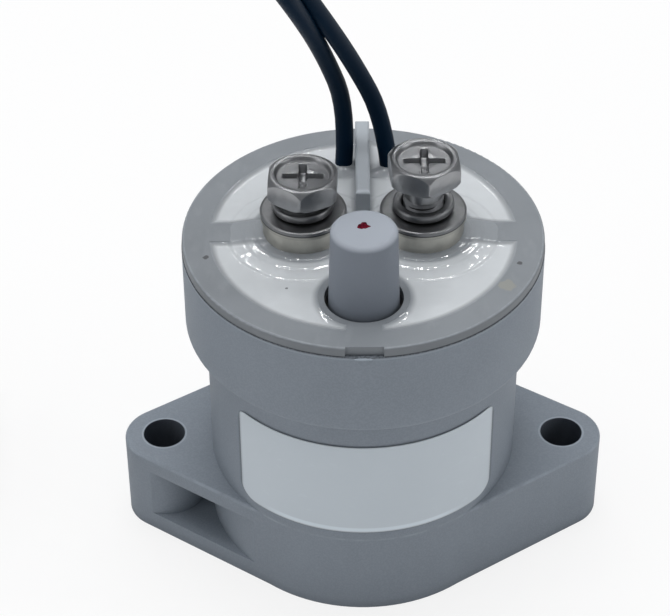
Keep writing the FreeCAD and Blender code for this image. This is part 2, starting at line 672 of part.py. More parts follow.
def coil_spring(mean, wire, length, pitch):
    """A spring wound in quarter turns, which stands between two faces this far apart."""
    low = wire / 2 + V.spring_end_gap
    height = length - 2 * low
    quarters = round(4 * height / pitch)

    def at(quarter):
        angle = quarter * math.pi / 2
        return Vector(mean * math.cos(angle), mean * math.sin(angle), low + height * quarter / quarters)

    edges = [Part.Arc(at(i), at(i + 0.5), at(i + 1)).toShape() for i in range(quarters)]
    way = edges[0].tangentAt(edges[0].FirstParameter)
    section = Part.Wire([Part.makeCircle(wire / 2, at(0), way)])
    return Part.Wire(edges).makePipeShell([section], True, False)


def make_contacts():
    """The arc chamber with its cover and blow-out magnets, and the sprung contact bridge."""
    inner = CHAMBER_RADIUS + " - chamber_wall"
    node("arc_chamber", turned("arc_chamber", [
        (SHAFT_HOLE, CHAMBER_BOTTOM), (CHAMBER_RADIUS, CHAMBER_BOTTOM), (CHAMBER_RADIUS, COVER_BOTTOM),
        (inner, COVER_BOTTOM), (inner, CHAMBER_FLOOR_TOP), (SHAFT_HOLE, CHAMBER_FLOOR_TOP)]))
    disc = cylinder("cover_disc", CHAMBER_RADIUS, "cover_thickness", z=COVER_BOTTOM)
    holes = [cylinder("fill_hole", "fill_tube_radius + press_clearance", LID_TOP, "0", "-" + CAP_PLACE)]
    for side, sign in (("left", -1), ("right", 1)):
        holes.append(cylinder(side + "_post_hole", "post_radius + press_clearance", LID_TOP,
                              "%d * terminal_spacing / 2" % sign))
    node("chamber_cover", cut("chamber_cover", disc, holes))
    node("gas_fill_tube", turned("gas_fill_tube", [
        ("fill_tube_radius - fill_tube_wall", COVER_BOTTOM), ("fill_tube_radius", COVER_BOTTOM),
        ("fill_tube_radius", FILL_TUBE_TOP + " - fill_tube_pinch"), ("fill_tube_wall", FILL_TUBE_TOP),
        ("0", FILL_TUBE_TOP), ("0", FILL_TUBE_TOP + " - fill_tube_pinch / 2"),
        ("fill_tube_radius - fill_tube_wall", FILL_TUBE_TOP + " - fill_tube_pinch")],
        "0", "-" + CAP_PLACE))
    for side, sign in (("front", -1), ("rear", 1)):
        arc = ring(side + "_magnet_ring", DRUM_BORE + " - magnet_gap", CHAMBER_RADIUS + " + magnet_gap",
                   "magnet_height", z=SHELF_TOP)
        wedge = doc.addObject("Part::Cylinder", side + "_magnet_wedge")
        bind(wedge, Radius=DRUM_RADIUS, Height="magnet_height", Angle="magnet_span_degrees")
        place(wedge, z=SHELF_TOP)
        wedge.setExpression("Placement.Rotation.Angle", sized("%d - magnet_span_degrees / 2" % (90 * sign)))
        node(side + "_arc_magnet", common(side + "_arc_magnet", arc, wedge))
    reach = "(terminal_spacing / 2 + pad_radius + bridge_end)"
    bar = block("bridge_bar", ("2 * " + reach, "bridge_width", "bridge_thickness"),
                ("-" + reach, "-bridge_width / 2", BRIDGE_BOTTOM))
    node("contact_bridge", cut("contact_bridge", bar, [cylinder("bridge_hole", SHAFT_HOLE, BRIDGE_TOP)]))
    for name, height in (("moving_contact_pads", BRIDGE_TOP), ("fixed_contact_pads", FIXED_PAD_BOTTOM)):
        pads = [cylinder("%s_%d" % (name, i), "pad_radius", "pad_thickness",
                         "%d * terminal_spacing / 2" % sign, "0", height) for i, sign in enumerate((-1, 1))]
        group = doc.addObject("Part::Compound", name)
        group.Links = pads
        node(name, group)
    node("spring_seat", ring("spring_seat", SEAT_RADIUS, PRESS_HOLE, "spring_seat_thickness",
                             z=SEAT_BOTTOM))
    stacked = (V.post_flange_thickness + V.post_tip_length + 2 * V.pad_thickness + V.contact_gap
               + V.bridge_thickness + V.spring_seat_thickness + V.spring_seat_gap + V.chamber_floor)
    spring = doc.addObject("Part::Feature", "contact_spring")
    spring.Shape = coil_spring(V.contact_spring_radius, V.contact_spring_wire, V.chamber_height - stacked,
                               V.contact_spring_pitch)
    node("contact_spring", place(spring, z=SEAT_TOP))
    disc = ring("clip_disc", "clip_radius", PRESS_HOLE, "clip_thickness", z=BRIDGE_TOP)
    slot = block("clip_mouth", ("clip_slot", "clip_radius", "clip_thickness"),
                 ("-clip_slot / 2", "0", BRIDGE_TOP))
    node("retaining_clip", cut("retaining_clip", disc, [slot]))


def make_potting():
    """The cast sealing compound that fills the lid's openings round all that stands in it."""
    block_of_resin = cylinder("resin", SPIGOT_BORE, POTTING_TOP + " - " + COVER_TOP, z=COVER_TOP)
    tools = [NODES["lid"], cylinder("cap_well", CAP_HOLE, LID_TOP, "0", "-" + CAP_PLACE)]
    for side, sign in (("left", -1), ("right", 1)):
        x = "%d * terminal_spacing / 2" % sign
        tools.append(cylinder(side + "_post_well", "post_radius", LID_TOP, x))
    return node("potting", cut("potting", block_of_resin, tools))


def cord_tube(name, points):
    """A tube of straight runs joined by tangent arcs through a list of points."""
    corners = [Vector(*p) for p in points]
    edges = []
    start = corners[0]
    radii = []
    for before, corner, after in zip(corners, corners[1:], corners[2:]):
        back = (before - corner).normalize()
        ahead = (after - corner).normalize()
        half = (math.pi - back.getAngle(ahead)) / 2
        shorter = min(before.distanceToPoint(corner), after.distanceToPoint(corner))
        setback = 0.45 * shorter
        radii.append(setback / math.tan(half))
        first = corner + back * setback
        last = corner + ahead * setback
        middle_way = (back + ahead).normalize()
        middle = corner + middle_way * (radii[-1] / math.cos(half) - radii[-1])
        edges.append(Part.LineSegment(start, first).toShape())
        edges.append(Part.Arc(first, middle, last).toShape())
        start = last
    edges.append(Part.LineSegment(start, corners[-1]).toShape())
    path = Part.Wire(edges)
    way = (corners[1] - corners[0]).normalize()
    section = Part.Wire([Part.makeCircle(V.wire_radius, corners[0], way)])
    solid = path.makePipeShell([section], True, True)
    length = sum(edge.Length for edge in edges)
    ratio = solid.Volume / (math.pi * V.wire_radius ** 2 * length)
    print("%s: length %.1f, volume over section times length %.4f" % (name, length, ratio))
    print("  radii " + " ".join("%.1f" % r for r in radii))
    thing = doc.addObject("Part::Feature", name)
    thing.Shape = solid
    return node(name, thing)


def make_lead(side, route, way, lift):
    """A lead wire: its free stretch, its wound coil with a short tail, and its tinned tip."""
    cord_tube(side + "_lead", route)
    x = "%g" % COIL_X
    outer = "coil_radius + coil_band / 2"
    band = ring(side + "_coil_band", outer, "coil_radius - coil_band / 2", "coil_height", x, "0", lift)
    along_y = Rotation(Vector(1, 0, 0), -90 * way)
    tail_x = x + " + coil_radius"
    tail_z = lift + " + wire_radius + tail_lift"
    tail = cylinder(side + "_coil_tail", "wire_radius", "coil_tail", tail_x, "0", tail_z)
    tail.Placement.Rotation = along_y
    node(side + "_lead_coil", fuse(side + "_lead_coil", [band, tail]))
    tip_y = "%d * coil_tail" % way
    tip = cylinder(side + "_lead_tip", "tip_radius", "tip_length", tail_x, tip_y, tail_z)
    tip.Placement.Rotation = along_y
    node(side + "_lead_tip", tip)


make_housing()
make_lid()
make_potting()
make_label()
make_cap()
make_terminal("left", -1, "left_screw_play", "left_screw_turn_degrees")
make_terminal("right", 1, "right_screw_play", "right_screw_turn_degrees")
make_magnet_system()
make_contacts()
make_lead("left", LEFT_ROUTE, -1, "0")
make_lead("right", RIGHT_ROUTE, 1, "(coil_height + coil_stack_gap)")
doc.recompute()

for thing in doc.Objects:
    if "Invalid" in thing.State or "Error" in thing.State:
        raise RuntimeError("failed object: %s %s" % (thing.Name, thing.State))
for name, thing in NODES.items():
    if thing.Shape.isNull() or not thing.Shape.isValid() or not thing.Shape.Solids:
        raise RuntimeError("bad shape: " + name)

os.makedirs("parts", exist_ok=True)
for name, thing in NODES.items():
    thing.Shape.exportStep("parts/%s.step" % name)
    print("%-22s %2d solids %10.2f mm3" % (name, len(thing.Shape.Solids), thing.Shape.Volume))
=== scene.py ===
"""Dresses the sealed power relay: its finishes, its sealing compound, its screws and washers
and its lead wires, with the stage that it stands on.

The meshes are in metres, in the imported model's own frame.
"""
import math

import bpy
from bpy.props import FloatProperty, FloatVectorProperty, PointerProperty
from bpy.types import Operator, Panel, PropertyGroup
from mathutils import Matrix, Vector, noise


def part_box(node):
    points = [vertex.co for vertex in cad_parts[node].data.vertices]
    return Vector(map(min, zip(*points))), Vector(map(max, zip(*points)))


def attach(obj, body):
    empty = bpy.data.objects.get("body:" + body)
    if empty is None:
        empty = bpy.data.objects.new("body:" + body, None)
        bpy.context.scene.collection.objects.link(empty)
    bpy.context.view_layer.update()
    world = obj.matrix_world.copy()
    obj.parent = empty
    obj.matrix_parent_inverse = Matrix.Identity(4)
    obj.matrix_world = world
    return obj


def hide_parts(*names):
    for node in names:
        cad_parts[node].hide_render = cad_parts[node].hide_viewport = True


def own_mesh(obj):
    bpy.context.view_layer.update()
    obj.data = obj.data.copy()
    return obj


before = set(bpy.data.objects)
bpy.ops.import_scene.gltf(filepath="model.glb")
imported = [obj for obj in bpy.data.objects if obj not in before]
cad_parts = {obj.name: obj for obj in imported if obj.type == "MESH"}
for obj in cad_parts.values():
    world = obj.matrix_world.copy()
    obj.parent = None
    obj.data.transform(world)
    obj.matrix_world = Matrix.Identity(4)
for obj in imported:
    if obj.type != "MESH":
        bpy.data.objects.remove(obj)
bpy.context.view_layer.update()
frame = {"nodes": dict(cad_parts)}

bl_info = {
    "name": "Sealed Relay",
    "version": (1, 0, 0),
    "blender": (4, 5, 0),
    "location": "View3D > Sidebar > Relay",
    "description": "Dresses a sealed power relay with its finishes, compound, screws and leads",
    "category": "Object",
}

MM = 0.001
SIDES = ("left", "right")

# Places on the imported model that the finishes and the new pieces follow, in millimetres.
FLANGE_TOP = 12.0
DRUM_RADIUS = 21.7
LID_RADIUS = 21.62
LID_TOP = 44.4
OPENING_RADIUS = 18.4
HOLE_X = 25.4
HOLE_RADIUS = 2.63
TERMINAL_X = 7.1
POST_RADIUS = 4.85
WASHER_RADIUS = 5.15
WASHER_LINE = 0.5
WELL_RING_RADIUS = 5.35
SIDE_BRIDGE_HALF = 1.8
FRONT_BRIDGE_HALF = 2.0

# Oblongs on the lid seen from above: their lowest and highest x, then their lowest and highest y.
FIN = (-0.875, 0.875, 3.0, 18.6)
CROSSBAR = (-5.5, 5.5, 10.95, 12.65)

# The label film as the photograph shows it.
LABEL_BOTTOM = 13.3
LABEL_CORNER = 1.8
LABEL_TOP_CORNER = 0.8
LABEL_THICKNESS = 0.1

# The compound: its grid's width, cells and depth, its openings and the plateau round each post.
POUR_SPAN = 37.4
POUR_CELLS = 176
POUR_DEPTH = 2.2
WELL_OPENING = 4.95
POST_OPENING = 4.4
PLATEAU_RADIUS = 6.3
LEAD_RADIUS = 1.1
# Where the compound steps down round a post: from, to and by how much.
POUR_STEPS = ((5.55, 6.05, 0.14), (6.9, 7.5, 0.1), (8.7, 9.3, 0.15))

# The screw heads and how each screw and split washer is turned, in degrees.
HEAD_HEIGHT = 2.85
HEAD_FLATS = 8.0
CUP_FLOOR = 2.34
RECESS_DEPTH = 1.25
SCREW_TURNS = {"left": 27.0, "right": 36.0}
SCREW_TILTS = {"left": (-0.7, 0.6, 0.0), "right": (0.0, 0.0, 0.0)}
WASHER_GAP_TURN = 100.0

# The camera as it was solved from the photograph: place in millimetres, turns in radians.
CAMERA_PLACE = (-2.118, -217.154, 211.376)
CAMERA_PITCH = 0.6886
CAMERA_YAW = -0.006
CAMERA_ROLL = 0.0073
CAMERA_LENS = 123.44

# The two rows of small lamps that the compound's dotted highlights come from, in metres.
ROW_LAMPS = 13
ROW_SPACING = 0.075

# The lead wires' routes in millimetres, from the sealing compound to their coils beside the relay.
ROUTES = {
    "left": [
        (-2.3, 13.6, 44.2), (-1.8, 14.1, 52.5), (-4.6, 9.6, 63.5), (-7.5, 0.4, 75.2),
        (-12.0, -8.6, 88.0), (-22.5, -13.5, 97.0), (-36.5, -15.0, 96.5), (-50.0, -17.0, 85.5),
        (-60.0, -19.5, 69.0), (-66.0, -22.5, 50.5), (-70.0, -25.0, 32.5), (-72.8, -25.8, 17.5),
        (-75.0, -22.0, 7.2), (-76.1, -14.0, 2.0), (-76.1, -6.5, 1.1), (-76.1, 0.0, 1.1),
    ],
    "right": [
        (3.3, 13.2, 44.2), (2.6, 13.6, 51.5), (-1.3, 10.4, 62.0), (-5.4, 3.4, 73.5),
        (-11.0, -3.2, 86.5), (-20.5, -5.0, 97.5), (-33.0, -1.0, 100.5), (-46.0, 4.5, 92.0),
        (-56.5, 10.5, 76.5), (-63.0, 16.5, 59.0), (-68.0, 22.0, 41.0), (-72.0, 25.0, 24.5),
        (-75.0, 22.0, 12.5), (-76.1, 14.0, 6.8), (-76.1, 6.5, 5.8), (-76.1, 0.0, 5.8),
    ],
}
COIL_X = -64.0


def seen(red, green, blue):
    """A colour as it is read off a screen, 0 to 255, in the light values that a shader takes."""
    return tuple((level / 255 / 12.92) if level < 10 else ((level / 255 + 0.055) / 1.055) ** 2.4
                 for level in (red, green, blue))


def scaled(tone, amount):
    """A colour made lighter or darker, with no part over 1."""
    return tuple(min(1.0, part * amount) for part in tone)


def box_mm(node):
    """A node's lowest and highest corners, in millimetres."""
    return [[part / MM for part in corner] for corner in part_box(node)]


def frame_top(node):
    """The height of a node's top, in millimetres."""
    return box_mm(node)[1][2]


def corners(node):
    """A node's lowest and highest corners, in metres."""
    return [Vector(corner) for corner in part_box(node)]


def colour(name, description, default):
    return FloatVectorProperty(name=name, description=description, default=default,
                               subtype="COLOR", size=3, min=0.0, max=1.0)


def length(name, description, millimetres):
    return FloatProperty(name=name, description=description, default=millimetres * MM,
                         subtype="DISTANCE", unit="LENGTH", min=0.0, precision=5)


class RelaySizes(PropertyGroup):
    """Sizes of what is modelled here and not in the frame."""

    wire: length("Wire diameter", "Outside diameter of a lead wire's insulation", 2.2)
    coil_radius: length("Coil radius", "Radius at the middle of a lead's coil", 12.1)
    meniscus: length("Meniscus", "How far the compound climbs where it meets an edge", 0.2)
    mound: length("Mound", "How far the compound stands up round each terminal post", 0.46)
    mound_reach: length("Mound reach", "Where the mound ends, from the post's axis", 8.9)
    thread_pitch: length("Thread pitch", "Pitch of the terminal screws", 0.8)
    grain: length("Grain", "Size of the moulded plastic's surface grain", 0.22)


class RelayColours(PropertyGroup):
    """Colours of the finishes."""

    case: colour("Case", "Moulded case", seen(130, 138, 147))
    lid: colour("Lid", "Lid and divider fin", seen(127, 132, 137))
    cap: colour("Cap", "Cap over the fill tube", seen(124, 131, 141))
    resin: colour("Compound", "Cast sealing compound", seen(202, 206, 209))
    label: colour("Label", "Blank label film", seen(200, 209, 216))
    nickel: colour("Nickel", "Plated screws and washers", seen(160, 161, 163))
    post: colour("Post", "Plated terminal posts", seen(196, 194, 186))
    wire: colour("Wire", "Lead wire insulation", seen(0, 26, 46))
    ink: colour("Ink", "Inspection dot", seen(84, 4, 26))
    copper: colour("Copper", "Bare copper parts", seen(190, 120, 90))


def sum_method(operation, reflected=False):
    """A method that adds a Math node where one of Python's operators is written."""
    def method(self, other=0.0):
        first, second = (other, self) if reflected else (self, other)
        return self.finish.node("ShaderNodeMath", {"operation": operation}, {0: first, 1: second})

    return method


class Signal:
    """A value inside a material, on which sums are written as in Python."""

    def __init__(self, finish, socket):
        self.finish = finish
        self.socket = socket

    __add__ = __radd__ = sum_method("ADD")
    __sub__ = sum_method("SUBTRACT")
    __rsub__ = sum_method("SUBTRACT", reflected=True)
    __mul__ = __rmul__ = sum_method("MULTIPLY")
    __pow__ = sum_method("POWER")
    __or__ = sum_method("MAXIMUM")
    __and__ = sum_method("MINIMUM")
    __abs__ = sum_method("ABSOLUTE")


class Finish:
    """A surface finish: one shader, its base colour, and the shade that is built up over it."""

    def __init__(self, name, base, constants):
        self.material = bpy.data.materials.new(name)
        self.material.use_nodes = True
        tree = self.material.node_tree
        self.nodes = tree.nodes
        self.links = tree.links
        self.shader = self.nodes["Principled BSDF"]
        self.base = tuple(base)
        self.shade = self.base
        for socket, value in constants.items():
            self.shader.inputs[socket].default_value = value
        self.position = self.node("ShaderNodeTexCoord", {}, {}, "Object")
        split = self.node("ShaderNodeSeparateXYZ", {}, {0: self.position}).socket.node
        self.x, self.y, self.z = (Signal(self, out) * (1 / MM) for out in split.outputs)

    def node(self, kind, settings, values, output=0):
        """Add any node: its settings first, then the values or links of its sockets."""
        made = self.nodes.new(kind)
        for key, value in settings.items():
            setattr(made, key, value)
        for key, value in values.items():
            self.feed(made.inputs[key], value)
        return Signal(self, made.outputs[output])

    def feed(self, socket, value):
        if isinstance(value, Signal):
            self.links.new(value.socket, socket)
        else:
            socket.default_value = value

    def paint(self, mask, tone):
        """Lay a colour over the shade where the mask is 1."""
        self.shade = self.mix(mask, self.shade, tone)

    def tone(self, mask, amount):
        """Lay the base colour, made darker or lighter, over the shade."""
        self.paint(mask, scaled(self.base, amount))

    def done(self, roughness, normal):
        """Feed the shader with the shade, a roughness and a bump, and give the material."""
        for socket, value in zip(("Base Color", "Roughness", "Normal"), (self.shade, roughness, normal)):
            self.feed(self.shader.inputs[socket], value)
        return self.material

    def noise(self, size, detail=2.0, place=None, rough=0.5):
        """Noise whose features are about this many millimetres across."""
        return self.node("ShaderNodeTexNoise", {}, {
            "Vector": place or self.position, "Scale": 1 / (size * MM), "Detail": detail,
            "Roughness": rough})

    def stretched(self, x, y, z):
        """The position with each axis scaled, which draws a pattern out."""
        return self.node("ShaderNodeVectorMath", {"operation": "MULTIPLY"},
                         {0: self.position, 1: (x, y, z)})

    def ramp(self, value, start, end):
        """0 before start and 1 after end, smoothly between."""
        return self.node("ShaderNodeMapRange", {"interpolation_type": "SMOOTHSTEP"},
                         {0: value, 1: start, 2: end, 3: 0.0, 4: 1.0})

    def mix(self, factor, first, second):
        """Mix two colours."""
        first, second = (c if isinstance(c, Signal) else (*c, 1.0) for c in (first, second))
        return self.node("ShaderNodeMix", {"data_type": "RGBA"}, {0: factor, 6: first, 7: second}, 2)

    def bump(self, height, depth, under=None):
        """A bump of this depth in millimetres."""
        values = {"Strength": 1.0, "Distance": depth * MM, "Height": height}
        if under:
            values["Normal"] = under
        return self.node("ShaderNodeBump", {}, values)

    def distance(self, x, y):
        """Millimetres from an upright axis."""
        return ((self.x - x) ** 2.0 + (self.y - y) ** 2.0) ** 0.5

    def from_pair(self, x):
        """Millimetres from the nearer of two upright axes, at -x and x."""
        return self.distance(-x, 0.0) & self.distance(x, 0.0)

    def near(self, value, place, start, end):
        """1 where a value is at a place, and 0 where it is further away than the end."""
        return 1.0 - self.ramp(abs(value - place), start, end)

    def spot(self, x, y, radius, size):
        """A ragged spot seen from above."""
        ragged = self.distance(x, y) + (self.noise(size, 3.0) - 0.5) * radius
        return 1.0 - self.ramp(ragged, radius * 0.7, radius)


def case_finish(sizes, colours):
    """Matt moulded plastic with a fine spark grain and faint flow marks, painted shade in the seam, the
    mounting holes and at the foot, painted highlights on its edges, and a dark line round the label.
    """
    f = Finish("case_plastic", colours.case, {"Specular IOR Level": 0.45})
    grain = f.noise(sizes.grain / MM, 3.0)
    cloud = f.noise(9.0, 4.0)
    flow = f.noise(3.0, 3.0, f.stretched(1.0, 1.0, 0.25))
    f.tone(f.ramp(cloud, 0.35, 0.7) * 0.5, 0.93)
    f.tone(f.ramp(flow, 0.45, 0.75) * 0.25, 1.08)
    top = frame_top("housing")
    # Painted shade: a dark band in the seam where the lid sits on the case.
    seam = f.near(f.z, top, 0.05, 0.16)
    f.tone(seam * 0.85, 0.2)
    # Painted highlight: a light line just under the case's top edge.
    top_edge_highlight = f.near(f.z, top - 0.3, 0.05, 0.14)
    f.tone(top_edge_highlight * 0.35, 1.6)
    f.tone(f.ramp(grain, 0.42, 0.62) * 0.3, 1.3)
    # Partly wear and partly painted highlight: a broken light line along the flange's top edge.
    wear_and_highlight = f.ramp(f.noise(2.4, 4.0), 0.3, 0.7) * f.near(f.z, FLANGE_TOP - 0.2, 0.1, 0.19)
    f.tone(wear_and_highlight * 0.5, 1.5)
    hole = f.from_pair(HOLE_X)
    on_ear = f.ramp(f.z, FLANGE_TOP - 0.4, FLANGE_TOP - 0.1)
    # Partly wear and partly painted highlight: a light ring on the rim of each mounting hole.
    ring = f.near(hole, HOLE_RADIUS + 0.16, 0.06, 0.16) * on_ear
    f.tone(ring * 0.6, 1.7)
    # Painted shade: the inside of each mounting hole made dark.
    inside = 1.0 - f.ramp(hole, HOLE_RADIUS, HOLE_RADIUS + 0.06)
    f.paint(inside * 0.7, seen(34, 40, 52))
    low_label, high_label = box_mm("label")
    middle, half = (low_label[0] + high_label[0]) / 2, (high_label[0] - low_label[0]) / 2
    centre = (LABEL_BOTTOM + high_label[2]) / 2
    across = (abs(f.x - middle) - (half - LABEL_CORNER)) | 0.0
    upwards = (abs(f.z - centre) - (high_label[2] - centre - LABEL_CORNER)) | 0.0
    border = (across ** 2.0 + upwards ** 2.0) ** 0.5 - LABEL_CORNER
    # A dark line on the case round the label's edges, on the front only.
    label_edge_line = (1.0 - f.ramp(border, 0.1, 0.36)) * f.ramp(0.0 - f.y, 5.0, 6.0)
    f.tone(label_edge_line * 0.55, 0.45)
    # Painted shade: the case made darker towards its foot, near the floor.
    low = 1.0 - f.ramp(f.z, 0.0, 1.6)
    f.tone(low * 0.35, 0.6)
    rough = 0.5 + grain * 0.14 + cloud * 0.08
    return f.done(rough, f.bump(grain, 0.03))


def lid_finish(sizes, colours):
    """The lid's satin plastic, with handling smears, three dark specks and a yellow stain, painted shade
    on its side and in the seam, and painted light on its top edge and the fin.
    """
    f = Finish("lid_plastic", colours.lid, {"Specular IOR Level": 0.5})
    grain = f.noise(sizes.grain * 1.4 / MM, 3.0)
    cloud = f.noise(5.0, 5.0)
    smear = f.noise(2.2, 4.0, f.stretched(1.0, 0.4, 1.0))
    f.tone(f.ramp(cloud, 0.4, 0.65) * 0.6, 0.92)
    f.tone(f.ramp(smear, 0.52, 0.72) * 0.35, 1.18)
    stain = f.spot(16.6, -10.2, 1.1, 0.8)
    f.paint(stain * 0.22, seen(170, 162, 128))
    specks = (f.spot(18.3, -6.1, 0.38, 0.4) | f.spot(-18.5, -4.8, 0.42, 0.4)
              | f.spot(-15.9, 14.6, 0.3, 0.4))
    f.paint(specks * 0.85, seen(62, 62, 66))
    from_axis = f.distance(0.0, 0.0)
    # Painted shade: the lid's outer side made darker than its top.
    side = f.ramp(from_axis, LID_RADIUS - 0.12, LID_RADIUS - 0.04)
    f.tone(side * 0.55, 0.72)
    # Painted shade: a dark band at the lid's lower edge, in the seam over the case.
    seam = 1.0 - f.ramp(f.z - frame_top("housing"), 0.0, 0.14)
    f.tone(seam * 0.7, 0.25)
    fin = f.ramp(f.z - LID_TOP, 0.3, 0.6)
    # Painted highlight: a light line on the lid's rounded top edge, broken by noise.
    edge = f.near(from_axis, LID_RADIUS - 0.2, 0.05, 0.15) * f.ramp(f.z, LID_TOP - 0.3, LID_TOP - 0.1)
    edge = edge * (0.5 + f.ramp(f.noise(0.8, 4.0), 0.4, 0.65) * 0.5)
    f.tone(edge * 0.5, 1.6)
    # Painted light: the fin made lighter above the lid's top, as if lit.
    f.tone(fin * 0.8, 1.95)
    # Painted light: the fin's front end made lighter still, as by light thrown up from the compound.
    fin_front_light = fin * (1.0 - f.ramp(f.y, FIN[2] + 0.1, FIN[2] + 0.9))
    f.tone(fin_front_light * 0.5, 2.9)
    rough = 0.4 + grain * 0.12 + cloud * 0.1 - f.ramp(smear, 0.55, 0.7) * 0.1
    return f.done(rough, f.bump(grain, 0.012))


def cap_finish(sizes, colours):
    """The cap's matt plastic, with a painted highlight on its top and painted shade at its foot."""
    f = Finish("cap_plastic", colours.cap, {"Specular IOR Level": 0.45})
    grain = f.noise(sizes.grain / MM, 3.0)
    cloud = f.noise(4.0, 4.0)
    f.tone(f.ramp(cloud, 0.35, 0.7) * 0.5, 0.94)
    top = frame_top("tube_cap")
    # Painted highlight: the cap's top made lighter, as lit from above.
    wear_and_highlight = f.ramp(f.z, top - 0.7, top - 0.15)
    f.paint(wear_and_highlight * 0.8, (f.base[0] * 1.85, f.base[1] * 1.78, f.base[2] * 1.7))
    # Painted shade: the cap made darker at its foot, where it meets the lid.
    foot = 1.0 - f.ramp(f.z, LID_TOP, LID_TOP + 1.2)
    f.tone(foot * 0.3, 0.6)
    return f.done(0.5 + grain * 0.15, f.bump(grain, 0.015))


def resin_finish(colours):
    """Glossy cast compound, greyer where it lies thin over the lid."""
    f = Finish("sealing_compound", colours.resin, {"Specular IOR Level": 0.7})
    thin = f.node("ShaderNodeAttribute", {"attribute_name": "thin"}, {}, "Fac")
    cloud = f.noise(4.0, 4.0)
    smear = f.noise(1.4, 5.0, f.stretched(0.5, 1.0, 1.0))
    f.tone(f.ramp(cloud, 0.35, 0.7) * 0.5, 0.93)
    f.tone(f.ramp(smear, 0.5, 0.8) * 0.4, 1.07)
    f.paint(thin, seen(133, 138, 143))
    speck = f.spot(-8.95, -10.4, 0.2, 0.2)
    f.paint(speck * 0.7, seen(80, 80, 84))
    ripple = f.noise(1.1, 3.0)
    fine = f.noise(0.35, 2.0)
    away = f.from_pair(TERMINAL_X)
    away = away + (f.noise(1.6, 2.0) - 0.5) * 0.25
    beside_bridge = abs(f.y) - SIDE_BRIDGE_HALF + (1.0 - f.ramp(abs(f.x), 9.0, 11.0)) * 5.0
    inside_rim = OPENING_RADIUS - f.distance(0.0, 0.0)
    height = 1.0 + (1.0 - f.ramp(beside_bridge & inside_rim, 0.0, 0.9)) * 0.25
    for start, end, drop in POUR_STEPS:
        height = height - f.ramp(away, start, end) * drop
    normal = f.bump(fine, 0.001, f.bump(ripple, 0.008, f.bump(height, 1.0)))
    return f.done(0.03 + cloud * 0.03, normal)


def label_finish(colours):
    """Blank silver-white film with a darker cut edge, faint rub marks and a painted highlight along its
    lower edge.
    """
    f = Finish("label_film", colours.label,
               {"Specular IOR Level": 0.5, "Coat Weight": 0.25, "Coat Roughness": 0.25})
    low, high = box_mm("label")
    middle, half = (low[0] + high[0]) / 2, (high[0] - low[0]) / 2
    sideways = half - abs(f.x - middle)
    above_cut = f.z - LABEL_BOTTOM
    upright = above_cut & (high[2] - f.z)
    edge = 1.0 - f.ramp(sideways & upright, 0.08, 0.22)
    cloud = f.noise(6.0, 3.0)
    rub = f.ramp(f.noise(0.8, 5.0, f.stretched(0.3, 1.0, 1.0)), 0.6, 0.75)
    f.tone(cloud * 0.6, 0.95)
    f.tone(rub * 0.25, 1.12)
    f.tone(edge * 0.3, 0.5)
    # Painted highlight: a light band along the label's lower edge, in front.
    bright = f.near(above_cut, 0.42, 0.15, 0.4) * (1.0 - f.ramp(abs(f.x), 9.0, 13.0))
    f.tone(bright * 0.7, 1.3)
    return f.done(0.36 + cloud * 0.12, f.bump(f.noise(0.5, 2.0), 0.003))


def metal_finish(name, base, roughness, streak=(1.0, 1.0, 1.0), side=None):
    """Plated metal with fine scratches, dulled in patches, and with another tone and a painted shadow
    line on a washer's side.
    """
    f = Finish(name, base, {"Metallic": 1.0})
    scratch = f.noise(0.12, 4.0, f.stretched(*streak), 0.65)
    patch = f.noise(1.3, 4.0)
    f.tone(f.ramp(patch, 0.4, 0.7) * 0.2, 0.62)
    f.tone(f.ramp(scratch, 0.55, 0.75) * 0.2, 1.2)
    if side:
        away = f.from_pair(TERMINAL_X)
        outside = f.ramp(away, WASHER_RADIUS - 0.08, WASHER_RADIUS - 0.03)
        below = frame_top("left_flat_washer") - f.z
        f.paint(outside * f.ramp(below, WASHER_LINE, WASHER_LINE + 0.06), side)
        # Painted shadow: a dark contact line across the washer's side.
        line = f.near(below, WASHER_LINE, 0.05, 0.12)
        f.tone(outside * line * 0.8, 0.2)
    rough = roughness + (scratch - 0.5) * 0.04 + f.ramp(patch, 0.45, 0.7) * 0.06
    return f.done(rough, f.bump(scratch, 0.0002))


def moulded_finish(name, base, roughness):
    """A plain moulded or sintered inner part."""
    f = Finish(name, base, {})
    cloud = f.noise(2.5, 4.0)
    grain = f.noise(0.25, 3.0)
    f.tone(f.ramp(cloud, 0.35, 0.7), 0.88)
    return f.done(roughness + grain * 0.15, f.bump(grain, 0.01))


def winding_finish():
    """Enamelled copper wire laid in close layers, with painted shade between the turns."""
    f = Finish("enamelled_copper", seen(168, 82, 44),
               {"Metallic": 0.85, "Coat Weight": 0.5, "Coat Roughness": 0.15})
    layers = f.node("ShaderNodeMath", {"operation": "SINE"}, {0: f.z * (math.tau / 0.28)})
    # Painted shade in the grooves between the turns of wire.
    f.tone(1.0 - f.ramp(layers, -0.9, 0.2), 0.35)
    return f.done(0.3 + f.noise(1.5) * 0.15, f.bump(layers, 0.04))


def wire_finish(colours):
    """Black insulation with a soft sheen, faint dust and draw marks along its length."""
    f = Finish("wire_insulation", colours.wire, {"Specular IOR Level": 0.06})
    dust = f.ramp(f.noise(1.6, 5.0), 0.55, 0.8)
    fine = f.noise(0.3, 3.0)
    f.paint(dust * 0.05, seen(40, 46, 56))
    return f.done(0.4 + fine * 0.16 + dust * 0.1, f.bump(fine, 0.008))


def ink_finish(colours):
    """Dark inspection ink, mottled where it dried."""
    f = Finish("inspection_ink", colours.ink, {"Specular IOR Level": 0.06})
    patch = f.noise(0.35, 4.0)
    f.shade = scaled(f.base, 0.5)
    f.tone(f.ramp(patch, 0.4, 0.62), 1.35)
    return f.done(0.3 + patch * 0.2, f.bump(patch, 0.02))


